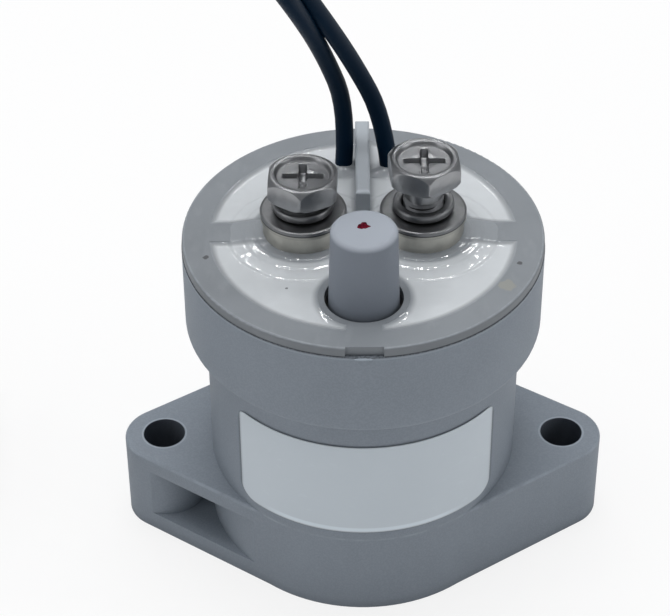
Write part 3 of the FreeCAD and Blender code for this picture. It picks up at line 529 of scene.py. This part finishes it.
def cover(piece, material):
    """Give a piece one material in every slot."""
    if not piece.material_slots:
        piece.data.materials.append(material)
    for slot in piece.material_slots:
        slot.material = material
    return piece


def deselect():
    if bpy.context.object and bpy.context.object.mode != "OBJECT":
        leave_edit()
    bpy.ops.object.select_all(action="DESELECT")


def pick(piece):
    """Make a piece the only one selected, and the active one."""
    deselect()
    piece.select_set(True)
    bpy.context.view_layer.objects.active = piece
    return piece


def named(name):
    """The piece that was just added, given its name."""
    piece = bpy.context.object
    piece.name = name
    piece.data.name = name
    return piece


def settle(piece):
    """Put a piece's place into its mesh, so that its object sits at the origin."""
    pick(piece)
    bpy.ops.object.transform_apply(location=True, rotation=True, scale=True)
    return piece


def edit_all():
    """Enter edit mode with every part of the active piece selected."""
    bpy.ops.object.mode_set(mode="EDIT")
    bpy.ops.mesh.select_all(action="SELECT")


def leave_edit():
    bpy.ops.object.mode_set(mode="OBJECT")


def select_only(piece, kind, wanted):
    """Enter edit mode with only those vertices or polygons selected for which wanted holds."""
    bpy.ops.object.mode_set(mode="EDIT")
    bpy.ops.mesh.select_all(action="DESELECT")
    leave_edit()
    for part in getattr(piece.data, kind):
        part.select = wanted(part)
    bpy.ops.object.mode_set(mode="EDIT")


def fill_holes(sides=0):
    """Close the active piece's open loops: all, or those of up to this many sides."""
    edit_all()
    bpy.ops.mesh.fill_holes(sides=sides)
    leave_edit()


def finish_shape(piece, angle=35.0):
    """Point the faces outwards and smooth all but the sharp edges."""
    pick(piece)
    edit_all()
    bpy.ops.mesh.normals_make_consistent(inside=False)
    leave_edit()
    bpy.ops.object.shade_smooth_by_angle(angle=math.radians(angle))
    return piece


def modify(piece, kind, **settings):
    """Add a modifier, set it and apply it."""
    pick(piece)
    modifier = piece.modifiers.new(kind.title(), kind)
    for key, value in settings.items():
        setattr(modifier, key, value)
    bpy.ops.object.modifier_apply(modifier=modifier.name)
    return piece


def joined(name, pieces):
    """Join pieces into one mesh."""
    pick(pieces[0])
    for piece in pieces[1:]:
        piece.select_set(True)
    bpy.ops.object.join()
    return named(name)


def carve(piece, tool, operation="DIFFERENCE"):
    """Cut a piece with another, which is used up."""
    modify(piece, "BOOLEAN", operation=operation, object=tool, solver="EXACT")
    bpy.data.objects.remove(tool)
    return piece


def turned(name, rings, centre=(0.0, 0.0), closed=False, vertices=96):
    """A round piece drawn up ring by ring, each ring a (radius, height) pair in millimetres."""
    deselect()
    (radius, height), x, y = rings[0], centre[0] * MM, centre[1] * MM
    bpy.ops.mesh.primitive_circle_add(vertices=vertices, radius=radius * MM,
                                      location=(x, y, height * MM))
    piece = settle(named(name))
    edit_all()
    if not closed:
        bpy.ops.mesh.edge_face_add()
        bpy.ops.mesh.select_all(action="SELECT")
        bpy.ops.mesh.region_to_loop()
    for (inner, low), (outer, high) in zip(rings, rings[1:]):
        bpy.ops.mesh.extrude_edges_move(
            TRANSFORM_OT_translate={"value": (0.0, 0.0, (high - low) * MM)})
        bpy.ops.transform.resize(value=(outer / inner, outer / inner, 1.0),
                                 center_override=(x, y, high * MM))
    if closed:
        bpy.ops.mesh.select_all(action="SELECT")
        bpy.ops.mesh.remove_doubles(threshold=0.001 * MM)
    else:
        bpy.ops.mesh.edge_face_add()
    return finish_shape(piece)


def coil_points(radius, wire, way, lift):
    """Two turns of wire side by side, half a turn on top, and the tail that leaves along Y."""
    steps = 12
    beside = 0.56 * wire
    points = []
    for step in range(1, int(2.5 * steps) + 1):
        turn = step / steps
        angle = math.pi + way * math.tau * turn
        ease = min(1.0, turn / 0.3)
        inwards = min(1.0, max(0.0, (turn - 0.85) / 0.35))
        upwards = min(1.0, max(0.0, (turn - 1.85) / 0.3))
        reach = radius + beside * (ease - 2 * inwards + upwards)
        height = lift + wire * (0.5 + 0.95 * upwards)
        points.append((COIL_X + reach * math.cos(angle), reach * math.sin(angle), height))
    tail = [(4.0, 1.42), (7.5, 1.28), (11.0, 0.9), (14.0, 0.6), (16.0, 0.523)]
    return points + [(COIL_X + radius, way * along, lift + up * wire) for along, up in tail]


def lead_wire(side, sizes, material):
    """One lead: a smooth line through its route and its coil, with round insulation."""
    wire = sizes.wire / MM
    way, lift = (-1, 0.0) if side == "left" else (1, box_mm("right_lead_coil")[0][2])
    points = ROUTES[side] + coil_points(sizes.coil_radius / MM, wire, way, lift)
    data = bpy.data.curves.new(side + "_lead_wire", "CURVE")
    data.dimensions = "3D"
    data.bevel_depth = sizes.wire / 2
    data.bevel_resolution = 5
    data.resolution_u = 6
    data.use_fill_caps = True
    spline = data.splines.new("NURBS")
    spline.points.add(len(points) - 1)
    for point, place in zip(spline.points, points):
        point.co = (*(v * MM for v in place), 1.0)
    spline.order_u = 3
    spline.use_endpoint_u = True
    data.materials.append(material)
    piece = bpy.data.objects.new(side + "_lead_wire", data)
    bpy.context.scene.collection.objects.link(piece)
    return piece


def stripped_strands(side, material):
    """Seven tinned strands, laid round each other, at a lead's bare end."""
    low, high = corners(side + "_lead_tip")
    axis = (low + high) / 2
    reach = high.y - low.y + 1.0 * MM
    start = high.y + 1.0 * MM if side == "left" else high.y
    strand, lay = 0.2 * MM, 0.4 * MM
    strands = []
    for index in range(7):
        deselect()
        turn = math.tau * index / 6
        offset = (0.0, 0.0) if index == 6 else (lay * math.cos(turn), lay * math.sin(turn))
        bpy.ops.mesh.primitive_circle_add(vertices=8, radius=strand, fill_type="NOTHING")
        piece = named("strand_%d" % index)
        piece.data.transform(Matrix.Translation((offset[0], offset[1], 0.0)))
        modify(piece, "SCREW", axis="Z", angle=math.radians(200.0), screw_offset=reach, steps=20,
               render_steps=20)
        fill_holes(sides=8)
        strands.append(finish_shape(piece, 60.0))
    piece = joined(side + "_bare_strands", strands)
    piece.rotation_euler = (math.radians(90.0), 0.0, 0.0)
    piece.location = (axis.x, start, axis.z)
    return cover(settle(piece), material)


def copied(node, name):
    """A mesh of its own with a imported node's shape, its loose triangles joined."""
    source = frame["nodes"][node]
    piece = bpy.data.objects.new(name, source.data.copy())
    bpy.context.scene.collection.objects.link(piece)
    piece.matrix_world = source.matrix_world
    settle(piece)
    edit_all()
    bpy.ops.mesh.remove_doubles(threshold=0.001 * MM)
    leave_edit()
    return finish_shape(piece)


def label_piece(material):
    """The label film: an oblong with rounded corners, wrapped round the barrel's front."""
    low, high = corners("label")
    outer = -low.y / MM
    middle = (LABEL_BOTTOM * MM + high.z) / 2
    deselect()
    bpy.ops.mesh.primitive_plane_add(size=1.0, rotation=(math.pi / 2, 0.0, 0.0))
    film = settle(named("label_dressed"))
    for vertex in film.data.vertices:
        vertex.co.x = high.x if vertex.co.x > 0.0 else low.x
        vertex.co.z = high.z if vertex.co.z > 0.0 else LABEL_BOTTOM * MM
    for lower, corner in ((True, LABEL_CORNER), (False, LABEL_TOP_CORNER)):
        select_only(film, "vertices", lambda vertex: (vertex.co.z < middle) == lower)
        bpy.ops.mesh.select_mode(type="VERT")
        bpy.ops.mesh.bevel(offset=corner * MM, segments=10, affect="VERTICES")
        leave_edit()
    edit_all()
    past_front = (0.0, -1.3 * outer * MM, 0.0)
    bpy.ops.mesh.extrude_region_move(TRANSFORM_OT_translate={"value": past_front})
    leave_edit()
    finish_shape(film)
    inner, bottom, top = outer - LABEL_THICKNESS, LABEL_BOTTOM - 1.0, high.z / MM + 1.0
    skin = turned("label_skin", [(inner, bottom), (outer, bottom), (outer, top), (inner, top),
                                 (inner, bottom)], vertices=288)
    carve(film, skin, "INTERSECT")
    return cover(finish_shape(film, 20.0), material)


def working_spring(node, held_high, material):
    """A copy of a coil spring with its finish, attached to the root when held at its high end and to the
    armature when held at its low end.
    """
    piece = cover(copied(node, node + "_working"), material)
    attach(piece, "root" if held_high else "armature")
    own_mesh(piece)
    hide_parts(node)
    return piece


def box_gap(x, y, low_x, high_x, low_y, high_y):
    """How far a point lies outside a box seen from above, less than 0 inside it."""
    across = max(low_x - x, x - high_x)
    along = max(low_y - y, y - high_y)
    if across > 0.0 and along > 0.0:
        return math.hypot(across, along)
    return max(across, along)


def eased(value, start, end):
    """Rises from 0 at the start to 1 at the end, smoothly."""
    part = min(1.0, max(0.0, (value - start) / (end - start)))
    return part * part * (3.0 - 2.0 * part)


def rounded_step(value):
    """Rises from 0 to 1 in a straight line as value does, with both corners rounded."""
    softness = 0.07

    def bend(at):
        return softness * math.log1p(math.exp(min(50.0, at / softness)))

    return bend(value) - bend(value - 1.0)


class Pour:
    """The compound's surface: its height and how thin it lies at each place on the lid."""

    def __init__(self, sizes):
        post_low, post_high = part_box("left_terminal_post")
        cap_low, cap_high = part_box("tube_cap")
        self.level = frame_top("potting")
        self.post_x = abs(post_low[0] + post_high[0]) / 2 / MM
        self.cap_y = (cap_low[1] + cap_high[1]) / 2 / MM
        self.meniscus = sizes.meniscus / MM
        self.mound = sizes.mound / MM
        self.reach = sizes.mound_reach / MM

    def gap(self, x, y):
        """Millimetres from the lid's nearest edge, less than 0 under the lid."""
        rim = OPENING_RADIUS - math.hypot(x, y)
        ring = math.hypot(x, y - self.cap_y) - WELL_RING_RADIUS
        past_rim = 20.0
        bridge = box_gap(abs(x), y, self.post_x, past_rim, -SIDE_BRIDGE_HALF, SIDE_BRIDGE_HALF)
        front = box_gap(x, y, -FRONT_BRIDGE_HALF, FRONT_BRIDGE_HALF, -past_rim, self.cap_y)
        return min(rim, ring, bridge, front)

    def fin_gap(self, x, y):
        """Millimetres from the divider fin, or from a little inside the crossbar."""
        return min(box_gap(x, y, *FIN), box_gap(x, y, *CROSSBAR) + 0.25)

    def from_post(self, x, y):
        """Millimetres from the nearer post's axis."""
        return math.hypot(abs(x) - self.post_x, y)

    def beyond(self, x, y):
        """Whether a place lies past the rim, in the cap's well or in a post."""
        past_rim = math.hypot(x, y) > POUR_SPAN / 2
        in_well = math.hypot(x, y - self.cap_y) < WELL_OPENING
        return past_rim or in_well or self.from_post(x, y) < POST_OPENING

    def height(self, x, y):
        """The compound's surface: its level and what climbs at edges, fin, posts and leads."""
        level = self.level
        gap = self.gap(x, y)
        if gap < 0.0:
            level += self.meniscus * 0.85
        else:
            level += self.meniscus * math.exp(-gap / 0.42)
        level += 0.28 * math.exp(-max(0.0, self.fin_gap(x, y)) / 0.4)
        for side in (-1, 1):
            away = math.hypot(x - side * self.post_x, y)
            if away < self.reach + 1.5:
                cone = rounded_step((self.reach - away) / (self.reach - PLATEAU_RADIUS))
                climb = math.exp(-max(0.0, away - POST_RADIUS) / 0.3)
                bead = math.exp(-((away - PLATEAU_RADIUS) / 0.22) ** 2)
                level += self.mound * (cone + 0.5 * climb + 0.06 * bead)
        for route in ROUTES.values():
            away = math.hypot(x - route[0][0], y - route[0][1])
            level += 0.55 * math.exp(-max(0.0, away - LEAD_RADIUS) / 0.55)
        level += 0.035 * noise.noise(Vector((x * 0.35, y * 0.35, 2.0)))
        level += 0.014 * noise.noise(Vector((x * 1.1, y * 1.1, 7.0)))
        return level

    def thin(self, x, y):
        """1 where the compound is only a skin over grey plastic."""
        thin = 1.0 - eased(self.gap(x, y), 0.0, 0.9)
        thin = max(thin, 0.8 * (1.0 - eased(self.fin_gap(x, y), 0.0, 0.8)))
        away = self.from_post(x, y)
        thin = max(thin, 1.0 - 0.8 * eased(away, 6.1, 6.6) - 0.2 * eased(away, 6.6, self.reach))
        return min(1.0, 0.85 * thin)


def resin_pour(sizes, material):
    """The compound in the lid's openings: a fine grid raised to its surface and given depth."""
    deselect()
    pour = Pour(sizes)
    bpy.ops.mesh.primitive_grid_add(x_subdivisions=POUR_CELLS, y_subdivisions=POUR_CELLS,
                                    size=POUR_SPAN * MM)
    piece = named("resin_pour")
    for vertex in piece.data.vertices:
        vertex.co.z = pour.height(vertex.co.x / MM, vertex.co.y / MM) * MM
    select_only(piece, "vertices", lambda vertex: pour.beyond(vertex.co.x / MM, vertex.co.y / MM))
    bpy.ops.mesh.select_mode(type="VERT")
    bpy.ops.mesh.delete(type="VERT")
    leave_edit()
    thin = piece.data.attributes.new("thin", "FLOAT", "POINT")
    for vertex, value in zip(piece.data.vertices, thin.data):
        value.value = pour.thin(vertex.co.x / MM, vertex.co.y / MM)
    modify(piece, "SOLIDIFY", thickness=POUR_DEPTH * MM, offset=-1.0)
    bpy.ops.object.shade_smooth()
    return cover(piece, material)


def cross_recess(top, depth):
    """The cross cut of a screw head, as two tapered bars and a centre point."""
    bar_size, bar_taper, above = (5.2, 1.1), (0.86, 0.7), 0.8
    tools = []
    # The second bar lies across the first, so its sizes are read backwards.
    for index, order in enumerate((1, -1)):
        along_x, along_y = bar_size[::order]
        deselect()
        bpy.ops.mesh.primitive_cube_add(
            size=1.0, location=(0.0, 0.0, (top - depth / 2 + above / 2) * MM))
        bar = named("recess_bar_%d" % index)
        bar.scale = (along_x * MM, along_y * MM, (depth + above) * MM)
        settle(bar)
        select_only(bar, "polygons", lambda face: face.normal.z < -0.5)
        bpy.ops.transform.resize(value=(*bar_taper[::order], 1.0),
                                 center_override=(0.0, 0.0, (top - depth) * MM))
        leave_edit()
        modify(bar, "BEVEL", width=0.16 * MM, segments=2, limit_method="ANGLE",
               angle_limit=math.radians(50.0))
        tools.append(bar)
    tools.append(turned("recess_point", [(0.3, top - depth - 0.25), (0.7, top - depth + 0.1),
                                         (0.85, top + 0.4)], vertices=48))
    return tools


def screw_head(turn):
    """A forged hexagon head with a round crown, a cup and a cross recess, its seat at height 0."""
    deselect()
    turn += math.radians(30.0)
    bpy.ops.mesh.primitive_cylinder_add(
        vertices=6, radius=HEAD_FLATS / math.sqrt(3) * MM, depth=HEAD_HEIGHT * MM,
        location=(0.0, 0.0, HEAD_HEIGHT / 2 * MM), rotation=(0.0, 0.0, turn))
    head = settle(named("head"))
    crown = turned("crown", [
        (3.95, 0.0), (4.3, 0.1), (4.55, 0.4), (4.66, 0.8), (4.66, 1.75), (4.55, 2.1), (4.36, 2.42),
        (4.12, 2.66), (3.92, 2.79), (3.72, 2.85), (3.5, 2.84), (3.34, 2.77), (3.24, 2.62), (3.18, 2.42),
        (3.05, 2.32), (2.8, 2.3), (1.6, CUP_FLOOR)])
    carve(head, crown, "INTERSECT")
    for tool in cross_recess(CUP_FLOOR, RECESS_DEPTH):
        carve(head, tool)
    modify(head, "BEVEL", width=0.07 * MM, segments=2, limit_method="ANGLE",
           angle_limit=math.radians(38.0))
    return finish_shape(head, 32.0)


def screw_shank(pitch):
    """The shank: a plain neck, a threaded length and a chamfered point."""
    neck, reach = 2.6, 10.0
    core_radius, neck_radius, crest, root = 2.02, 2.3, 2.42, 1.95
    core = turned("core", [
        (1.5, -reach), (core_radius, 0.4 - reach), (core_radius, -neck), (neck_radius, 0.25 - neck),
        (neck_radius, -0.25), (2.55, 0.0), (2.55, 0.3)], vertices=64)
    deselect()
    bpy.ops.mesh.primitive_circle_add(vertices=3, radius=0.5 * pitch, rotation=(math.pi / 2, 0.0, 0.0))
    ridge = settle(named("ridge"))
    for vertex in ridge.data.vertices:
        outermost = abs(vertex.co.z) > 0.45 * pitch
        edge = math.copysign(0.44 * pitch, vertex.co.x)
        vertex.co = (crest * MM, 0.0, 0.0) if outermost else (root * MM, 0.0, edge)
    turns = (reach - neck - 1.0) * MM / pitch
    modify(ridge, "SCREW", axis="Z", angle=math.tau, screw_offset=pitch, steps=48, render_steps=48,
           iterations=int(turns))
    ridge.location = (0.0, 0.0, (0.9 - reach) * MM)
    settle(ridge)
    fill_holes(sides=3)
    return [core, finish_shape(ridge, 30.0)]


def terminal_screw(side, sizes, material):
    """A dressed terminal screw in place of the plain one."""
    low, high = corners(side + "_terminal_screw")
    pieces = [screw_head(math.radians(SCREW_TURNS[side]))] + screw_shank(sizes.thread_pitch)
    screw = joined(side + "_screw_dressed", pieces)
    screw.location = ((low.x + high.x) / 2, 0.0, high.z - HEAD_HEIGHT * MM)
    screw.rotation_euler = [math.radians(angle) for angle in SCREW_TILTS[side]]
    return cover(settle(screw), material)


def split_washer(side, material):
    """A sprung split washer: a rounded bar wound through a little under one turn."""
    low, high = corners(side + "_spring_washer")
    bar, outer, sweep, spring = 1.05, 3.65, math.radians(346.0), 0.42
    deselect()
    bpy.ops.mesh.primitive_plane_add(size=bar * MM, rotation=(math.pi / 2, 0.0, 0.0))
    washer = settle(named(side + "_washer_sprung"))
    edit_all()
    bpy.ops.mesh.bevel(offset=0.3 * MM, segments=4, affect="VERTICES")
    bpy.ops.mesh.select_all(action="SELECT")
    bpy.ops.mesh.delete(type="ONLY_FACE")
    bpy.ops.mesh.select_all(action="SELECT")
    bpy.ops.transform.translate(value=((outer - bar / 2) * MM, 0.0, bar / 2 * MM))
    leave_edit()
    modify(washer, "SCREW", axis="Z", angle=sweep, screw_offset=spring * MM, steps=110,
           render_steps=110)
    fill_holes()
    washer.rotation_euler = (0.0, 0.0, math.radians(WASHER_GAP_TURN))
    washer.location = ((low.x + high.x) / 2, (low.y + high.y) / 2, low.z)
    return cover(finish_shape(settle(washer), 40.0), material)


def flat_washer(side, material):
    """A stamped washer with one rolled edge and one sharp edge."""
    low, high = box_mm(side + "_flat_washer")
    bottom, top, bore = low[2], high[2], 2.75
    outer = (high[0] - low[0]) / 2
    centre = ((low[0] + high[0]) / 2, 0.0)
    rings = [(bore, bottom), (outer - 0.05, bottom), (outer, bottom + 0.06), (outer, top - 0.24),
             (outer - 0.06, top - 0.1), (outer - 0.2, top - 0.02), (outer - 0.4, top), (2.9, top),
             (bore, top - 0.12), (bore, bottom)]
    return cover(turned(side + "_washer_flat", rings, centre, closed=True), material)


def ink_dot(material):
    """A dab of ink on the cap, thick in the middle, with a short tail."""
    low, high = corners("tube_cap")
    place = (-0.15 * MM, (low.y + high.y) / 2 + 0.55 * MM, high.z - 0.01 * MM)
    deselect()
    bpy.ops.mesh.primitive_circle_add(vertices=40, radius=0.74 * MM, fill_type="NGON",
                                      location=place)
    dot = settle(named("ink_dot"))
    edit_all()
    bpy.ops.mesh.inset(thickness=0.16 * MM)
    bpy.ops.mesh.extrude_region_move(TRANSFORM_OT_translate={"value": (0.0, 0.0, 0.03 * MM)})
    leave_edit()
    middle = sum((v.co for v in dot.data.vertices), Vector()) / len(dot.data.vertices)
    for vertex in dot.data.vertices:
        away = vertex.co - middle
        angle = math.atan2(away.y, away.x)
        reach = 0.9 + 0.14 * math.cos(2 * angle - 0.9) + 0.1 * math.cos(3 * angle + 2.2)
        reach += 0.06 * math.cos(7 * angle)
        tail = 0.7 * max(0.0, math.cos(angle + 0.25)) ** 20
        vertex.co.x = middle.x + away.x * (reach + tail)
        vertex.co.y = middle.y + away.y * reach * 1.3
    modify(dot, "SUBSURF", levels=1, render_levels=1)
    fill_holes()
    return cover(finish_shape(dot, 60.0), material)


def gate_mark(material):
    """The trimmed moulding gate on the case's front, under the lid's notch."""
    place = (-0.15, -(DRUM_RADIUS - 0.04), frame_top("housing") - 0.2)
    deselect()
    bpy.ops.mesh.primitive_uv_sphere_add(segments=32, ring_count=16, radius=1.0,
                                         location=[part * MM for part in place])
    mark = named("gate_mark")
    mark.scale = (1.15 * MM, 0.26 * MM, 0.16 * MM)
    return cover(finish_shape(settle(mark), 50.0), material)


def lamp(name, place, aim, size, energy):
    """A rectangular soft lamp at a place, turned to a point."""
    bpy.ops.object.light_add(type="AREA", location=place)
    light = bpy.context.object
    light.name = name
    light.data.shape = "RECTANGLE"
    light.data.size, light.data.size_y = size
    light.data.energy = energy
    light.rotation_euler = (Vector(aim) - Vector(place)).to_track_quat("-Z", "Y").to_euler()
    return light


def shown_white(tree, lit, white, output, share):
    """Let the camera see white, in this share, in place of the lit surface."""
    path = tree.nodes.new("ShaderNodeLightPath")
    factor = tree.nodes.new("ShaderNodeMath")
    factor.operation = "MULTIPLY"
    factor.inputs[1].default_value = share
    blend = tree.nodes.new("ShaderNodeMixShader")
    tree.links.new(path.outputs["Is Camera Ray"], factor.inputs[0])
    for index, node in enumerate((factor, lit, white)):
        tree.links.new(node.outputs[0], blend.inputs[index])
    tree.links.new(blend.outputs[0], output.inputs[0])


def floor_finish():
    """A pale floor that the camera sees as white, with the object's shadow kept."""
    f = Finish("pale_floor", (0.86, 0.86, 0.86), {"Roughness": 0.9, "Specular IOR Level": 0.1})
    f.feed(f.shader.inputs["Base Color"], (*f.base, 1.0))
    glow = f.nodes.new("ShaderNodeEmission")
    shown_white(f.material.node_tree, f.shader, glow, f.nodes["Material Output"], 0.8)
    return f.material


def white_world(strength):
    """Even light all round, seen as white by the camera."""
    world = bpy.data.worlds.new("white_room")
    world.use_nodes = True
    bpy.context.scene.world = world
    nodes = world.node_tree.nodes
    light, white = nodes["Background"], nodes.new("ShaderNodeBackground")
    light.inputs[0].default_value = (0.93, 0.96, 1.0, 1.0)
    light.inputs[1].default_value = strength
    white.inputs[0].default_value = (1.0, 1.0, 1.0, 1.0)
    shown_white(world.node_tree, light, white, nodes["World Output"], 1.0)


class RELAY_OT_stage(Operator):
    """Add the camera, the pale floor and the soft lamps"""

    bl_idname = "relay.stage"
    bl_label = "Stage"

    def execute(self, context):
        deselect()
        turn = (Matrix.Rotation(-CAMERA_YAW, 4, "Z")
                @ Matrix.Rotation(math.pi / 2 - CAMERA_PITCH, 4, "X")
                @ Matrix.Rotation(-CAMERA_ROLL, 4, "Z"))
        bpy.ops.object.camera_add(location=[part * MM for part in CAMERA_PLACE],
                                  rotation=turn.to_euler())
        camera = context.object
        camera.name = "photo_camera"
        camera.data.sensor_width = 36.0
        camera.data.lens = CAMERA_LENS
        camera.data.clip_start = 0.01
        context.scene.camera = camera
        bpy.ops.mesh.primitive_plane_add(size=4.0)
        floor = named("floor")
        cover(floor, floor_finish())
        aim = (0.0, 0.0, 0.03)
        top = lamp("top_softbox", (-0.08, 0.05, 0.75), aim, (0.6, 0.6), 2.6)
        top.visible_glossy = False
        for index in range(ROW_LAMPS):
            across = (index - ROW_LAMPS // 2) * ROW_SPACING
            lamp("over_lamp_%02d" % index, (across, 0.1, 0.82), aim, (0.022, 0.03), 0.15)
            lamp("rear_lamp_%02d" % index, (across * 0.6, 0.52, 0.64), aim, (0.016, 0.022), 0.06)
        for name, place in (("left_fill", (-0.72, -0.3, 0.35)), ("right_fill", (0.76, -0.25, 0.35))):
            lamp(name, place, aim, (0.4, 0.5), 0.95)
        white_world(0.3)
        context.scene.view_settings.view_transform = "Standard"
        return {"FINISHED"}


class RELAY_OT_leads(Operator):
    """Lay the two lead wires along their routes, with their coils and bare ends"""

    bl_idname = "relay.leads"
    bl_label = "Lead wires"

    def execute(self, context):
        scene = context.scene
        insulation = wire_finish(scene.relay_colours)
        tin = metal_finish("tinned_strands", seen(206, 204, 200), 0.3)
        for side in SIDES:
            wire = lead_wire(side, scene.relay_sizes, insulation)
            strands = stripped_strands(side, tin)
            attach(wire, "root")
            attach(strands, "root")
            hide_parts(side + "_lead", side + "_lead_coil")
            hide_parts(side + "_lead_tip")
        return {"FINISHED"}


class RELAY_OT_case(Operator):
    """Give the case, lid, cap and label their finishes, and add the moulding gate"""

    bl_idname = "relay.case"
    bl_label = "Case, lid and label"

    def execute(self, context):
        sizes, colours = context.scene.relay_sizes, context.scene.relay_colours
        nodes = frame["nodes"]
        plastic = case_finish(sizes, colours)
        cover(nodes["housing"], plastic)
        cover(nodes["lid"], lid_finish(sizes, colours))
        cover(nodes["tube_cap"], cap_finish(sizes, colours))
        film = label_piece(label_finish(colours))
        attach(film, "root")
        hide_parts("label")
        # The gate gets a lighter copy of the case plastic: a painted highlight.
        pale = scaled(colours.case, 1.35)
        mark = gate_mark(moulded_finish("trimmed_gate", pale, 0.35))
        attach(mark, "root")
        dot = ink_dot(ink_finish(colours))
        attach(dot, "root")
        return {"FINISHED"}


class RELAY_OT_compound(Operator):
    """Pour the glossy sealing compound into the lid's openings"""

    bl_idname = "relay.compound"
    bl_label = "Sealing compound"

    def execute(self, context):
        scene = context.scene
        pour = resin_pour(scene.relay_sizes, resin_finish(scene.relay_colours))
        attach(pour, "root")
        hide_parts("potting")
        return {"FINISHED"}


class RELAY_OT_terminals(Operator):
    """Model the terminal screws and washers and finish the posts"""

    bl_idname = "relay.terminals"
    bl_label = "Terminals"

    def execute(self, context):
        sizes, colours = context.scene.relay_sizes, context.scene.relay_colours
        bright = metal_finish("nickel_screw", scaled(colours.nickel, 0.98), 0.31)
        dull = metal_finish("nickel_washer", scaled(colours.nickel, 0.72), 0.36,
                            side=scaled(colours.post, 0.8))
        post = metal_finish("nickel_post", tuple(colours.post), 0.42, (1.0, 1.0, 0.1))
        for side in SIDES:
            screw = terminal_screw(side, sizes, bright)
            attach(screw, side + "_screw")
            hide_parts(side + "_terminal_screw")
            sprung = split_washer(side, dull)
            flat = flat_washer(side, dull)
            for piece, node in ((sprung, "_spring_washer"), (flat, "_flat_washer")):
                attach(piece, "root")
                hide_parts(side + node)
            cover(frame["nodes"][side + "_terminal_post"], post)
        return {"FINISHED"}


class RELAY_OT_inside(Operator):
    """Give the magnet system, the contacts and the arc chamber their finishes"""

    bl_idname = "relay.inside"
    bl_label = "Inner parts"

    def execute(self, context):
        iron = metal_finish("zinced_iron", seen(176, 178, 180), 0.4)
        spring = metal_finish("spring_steel", seen(150, 150, 152), 0.28)
        copper = metal_finish("bare_copper", tuple(context.scene.relay_colours.copper), 0.32)
        silver = metal_finish("contact_silver", seen(214, 212, 208), 0.38)
        finishes = {
            iron: ("yoke_can", "pole_plate", "plunger_sleeve", "fixed_core", "moving_core"),
            spring: ("shaft", "spring_seat", "retaining_clip"),
            copper: ("gas_fill_tube", "contact_bridge"),
            silver: ("moving_contact_pads", "fixed_contact_pads"),
            moulded_finish("natural_nylon", seen(226, 220, 198), 0.4): ("bobbin",),
            moulded_finish("arc_proof_moulding", seen(228, 224, 214), 0.55): ("arc_chamber",
                                                                             "chamber_cover"),
            moulded_finish("sintered_magnet", seen(52, 52, 56), 0.6): ("front_arc_magnet",
                                                                      "rear_arc_magnet"),
            winding_finish(): ("coil_winding",),
        }
        for material, names in finishes.items():
            for name in names:
                cover(frame["nodes"][name], material)
        working_spring("return_spring", True, spring)
        working_spring("contact_spring", False, spring)
        return {"FINISHED"}


OPERATORS = (RELAY_OT_stage, RELAY_OT_leads, RELAY_OT_case, RELAY_OT_compound, RELAY_OT_terminals,
             RELAY_OT_inside)


class RELAY_PT_panel(Panel):
    """The relay's pieces and settings"""

    bl_idname = "RELAY_PT_panel"
    bl_label = "Relay"
    bl_space_type = "VIEW_3D"
    bl_region_type = "UI"
    bl_category = "Relay"

    def draw(self, context):
        for operator in OPERATORS:
            self.layout.operator(operator.bl_idname)
        for group in (context.scene.relay_sizes, context.scene.relay_colours):
            box = self.layout.box()
            for name in group.bl_rna.properties.keys():
                if name not in ("rna_type", "name"):
                    box.prop(group, name)


CLASSES = (RelaySizes, RelayColours) + OPERATORS + (RELAY_PT_panel,)


def register():
    for cls in CLASSES:
        bpy.utils.register_class(cls)
    bpy.types.Scene.relay_sizes = PointerProperty(type=RelaySizes)
    bpy.types.Scene.relay_colours = PointerProperty(type=RelayColours)


def unregister():
    del bpy.types.Scene.relay_colours
    del bpy.types.Scene.relay_sizes
    for cls in reversed(CLASSES):
        bpy.utils.unregister_class(cls)


def main():
    register()
    bpy.ops.relay.stage()
    bpy.ops.relay.leads()
    bpy.ops.relay.case()
    bpy.ops.relay.compound()
    bpy.ops.relay.terminals()
    bpy.ops.relay.inside()
    deselect()


if __name__ == "__main__":
    main()
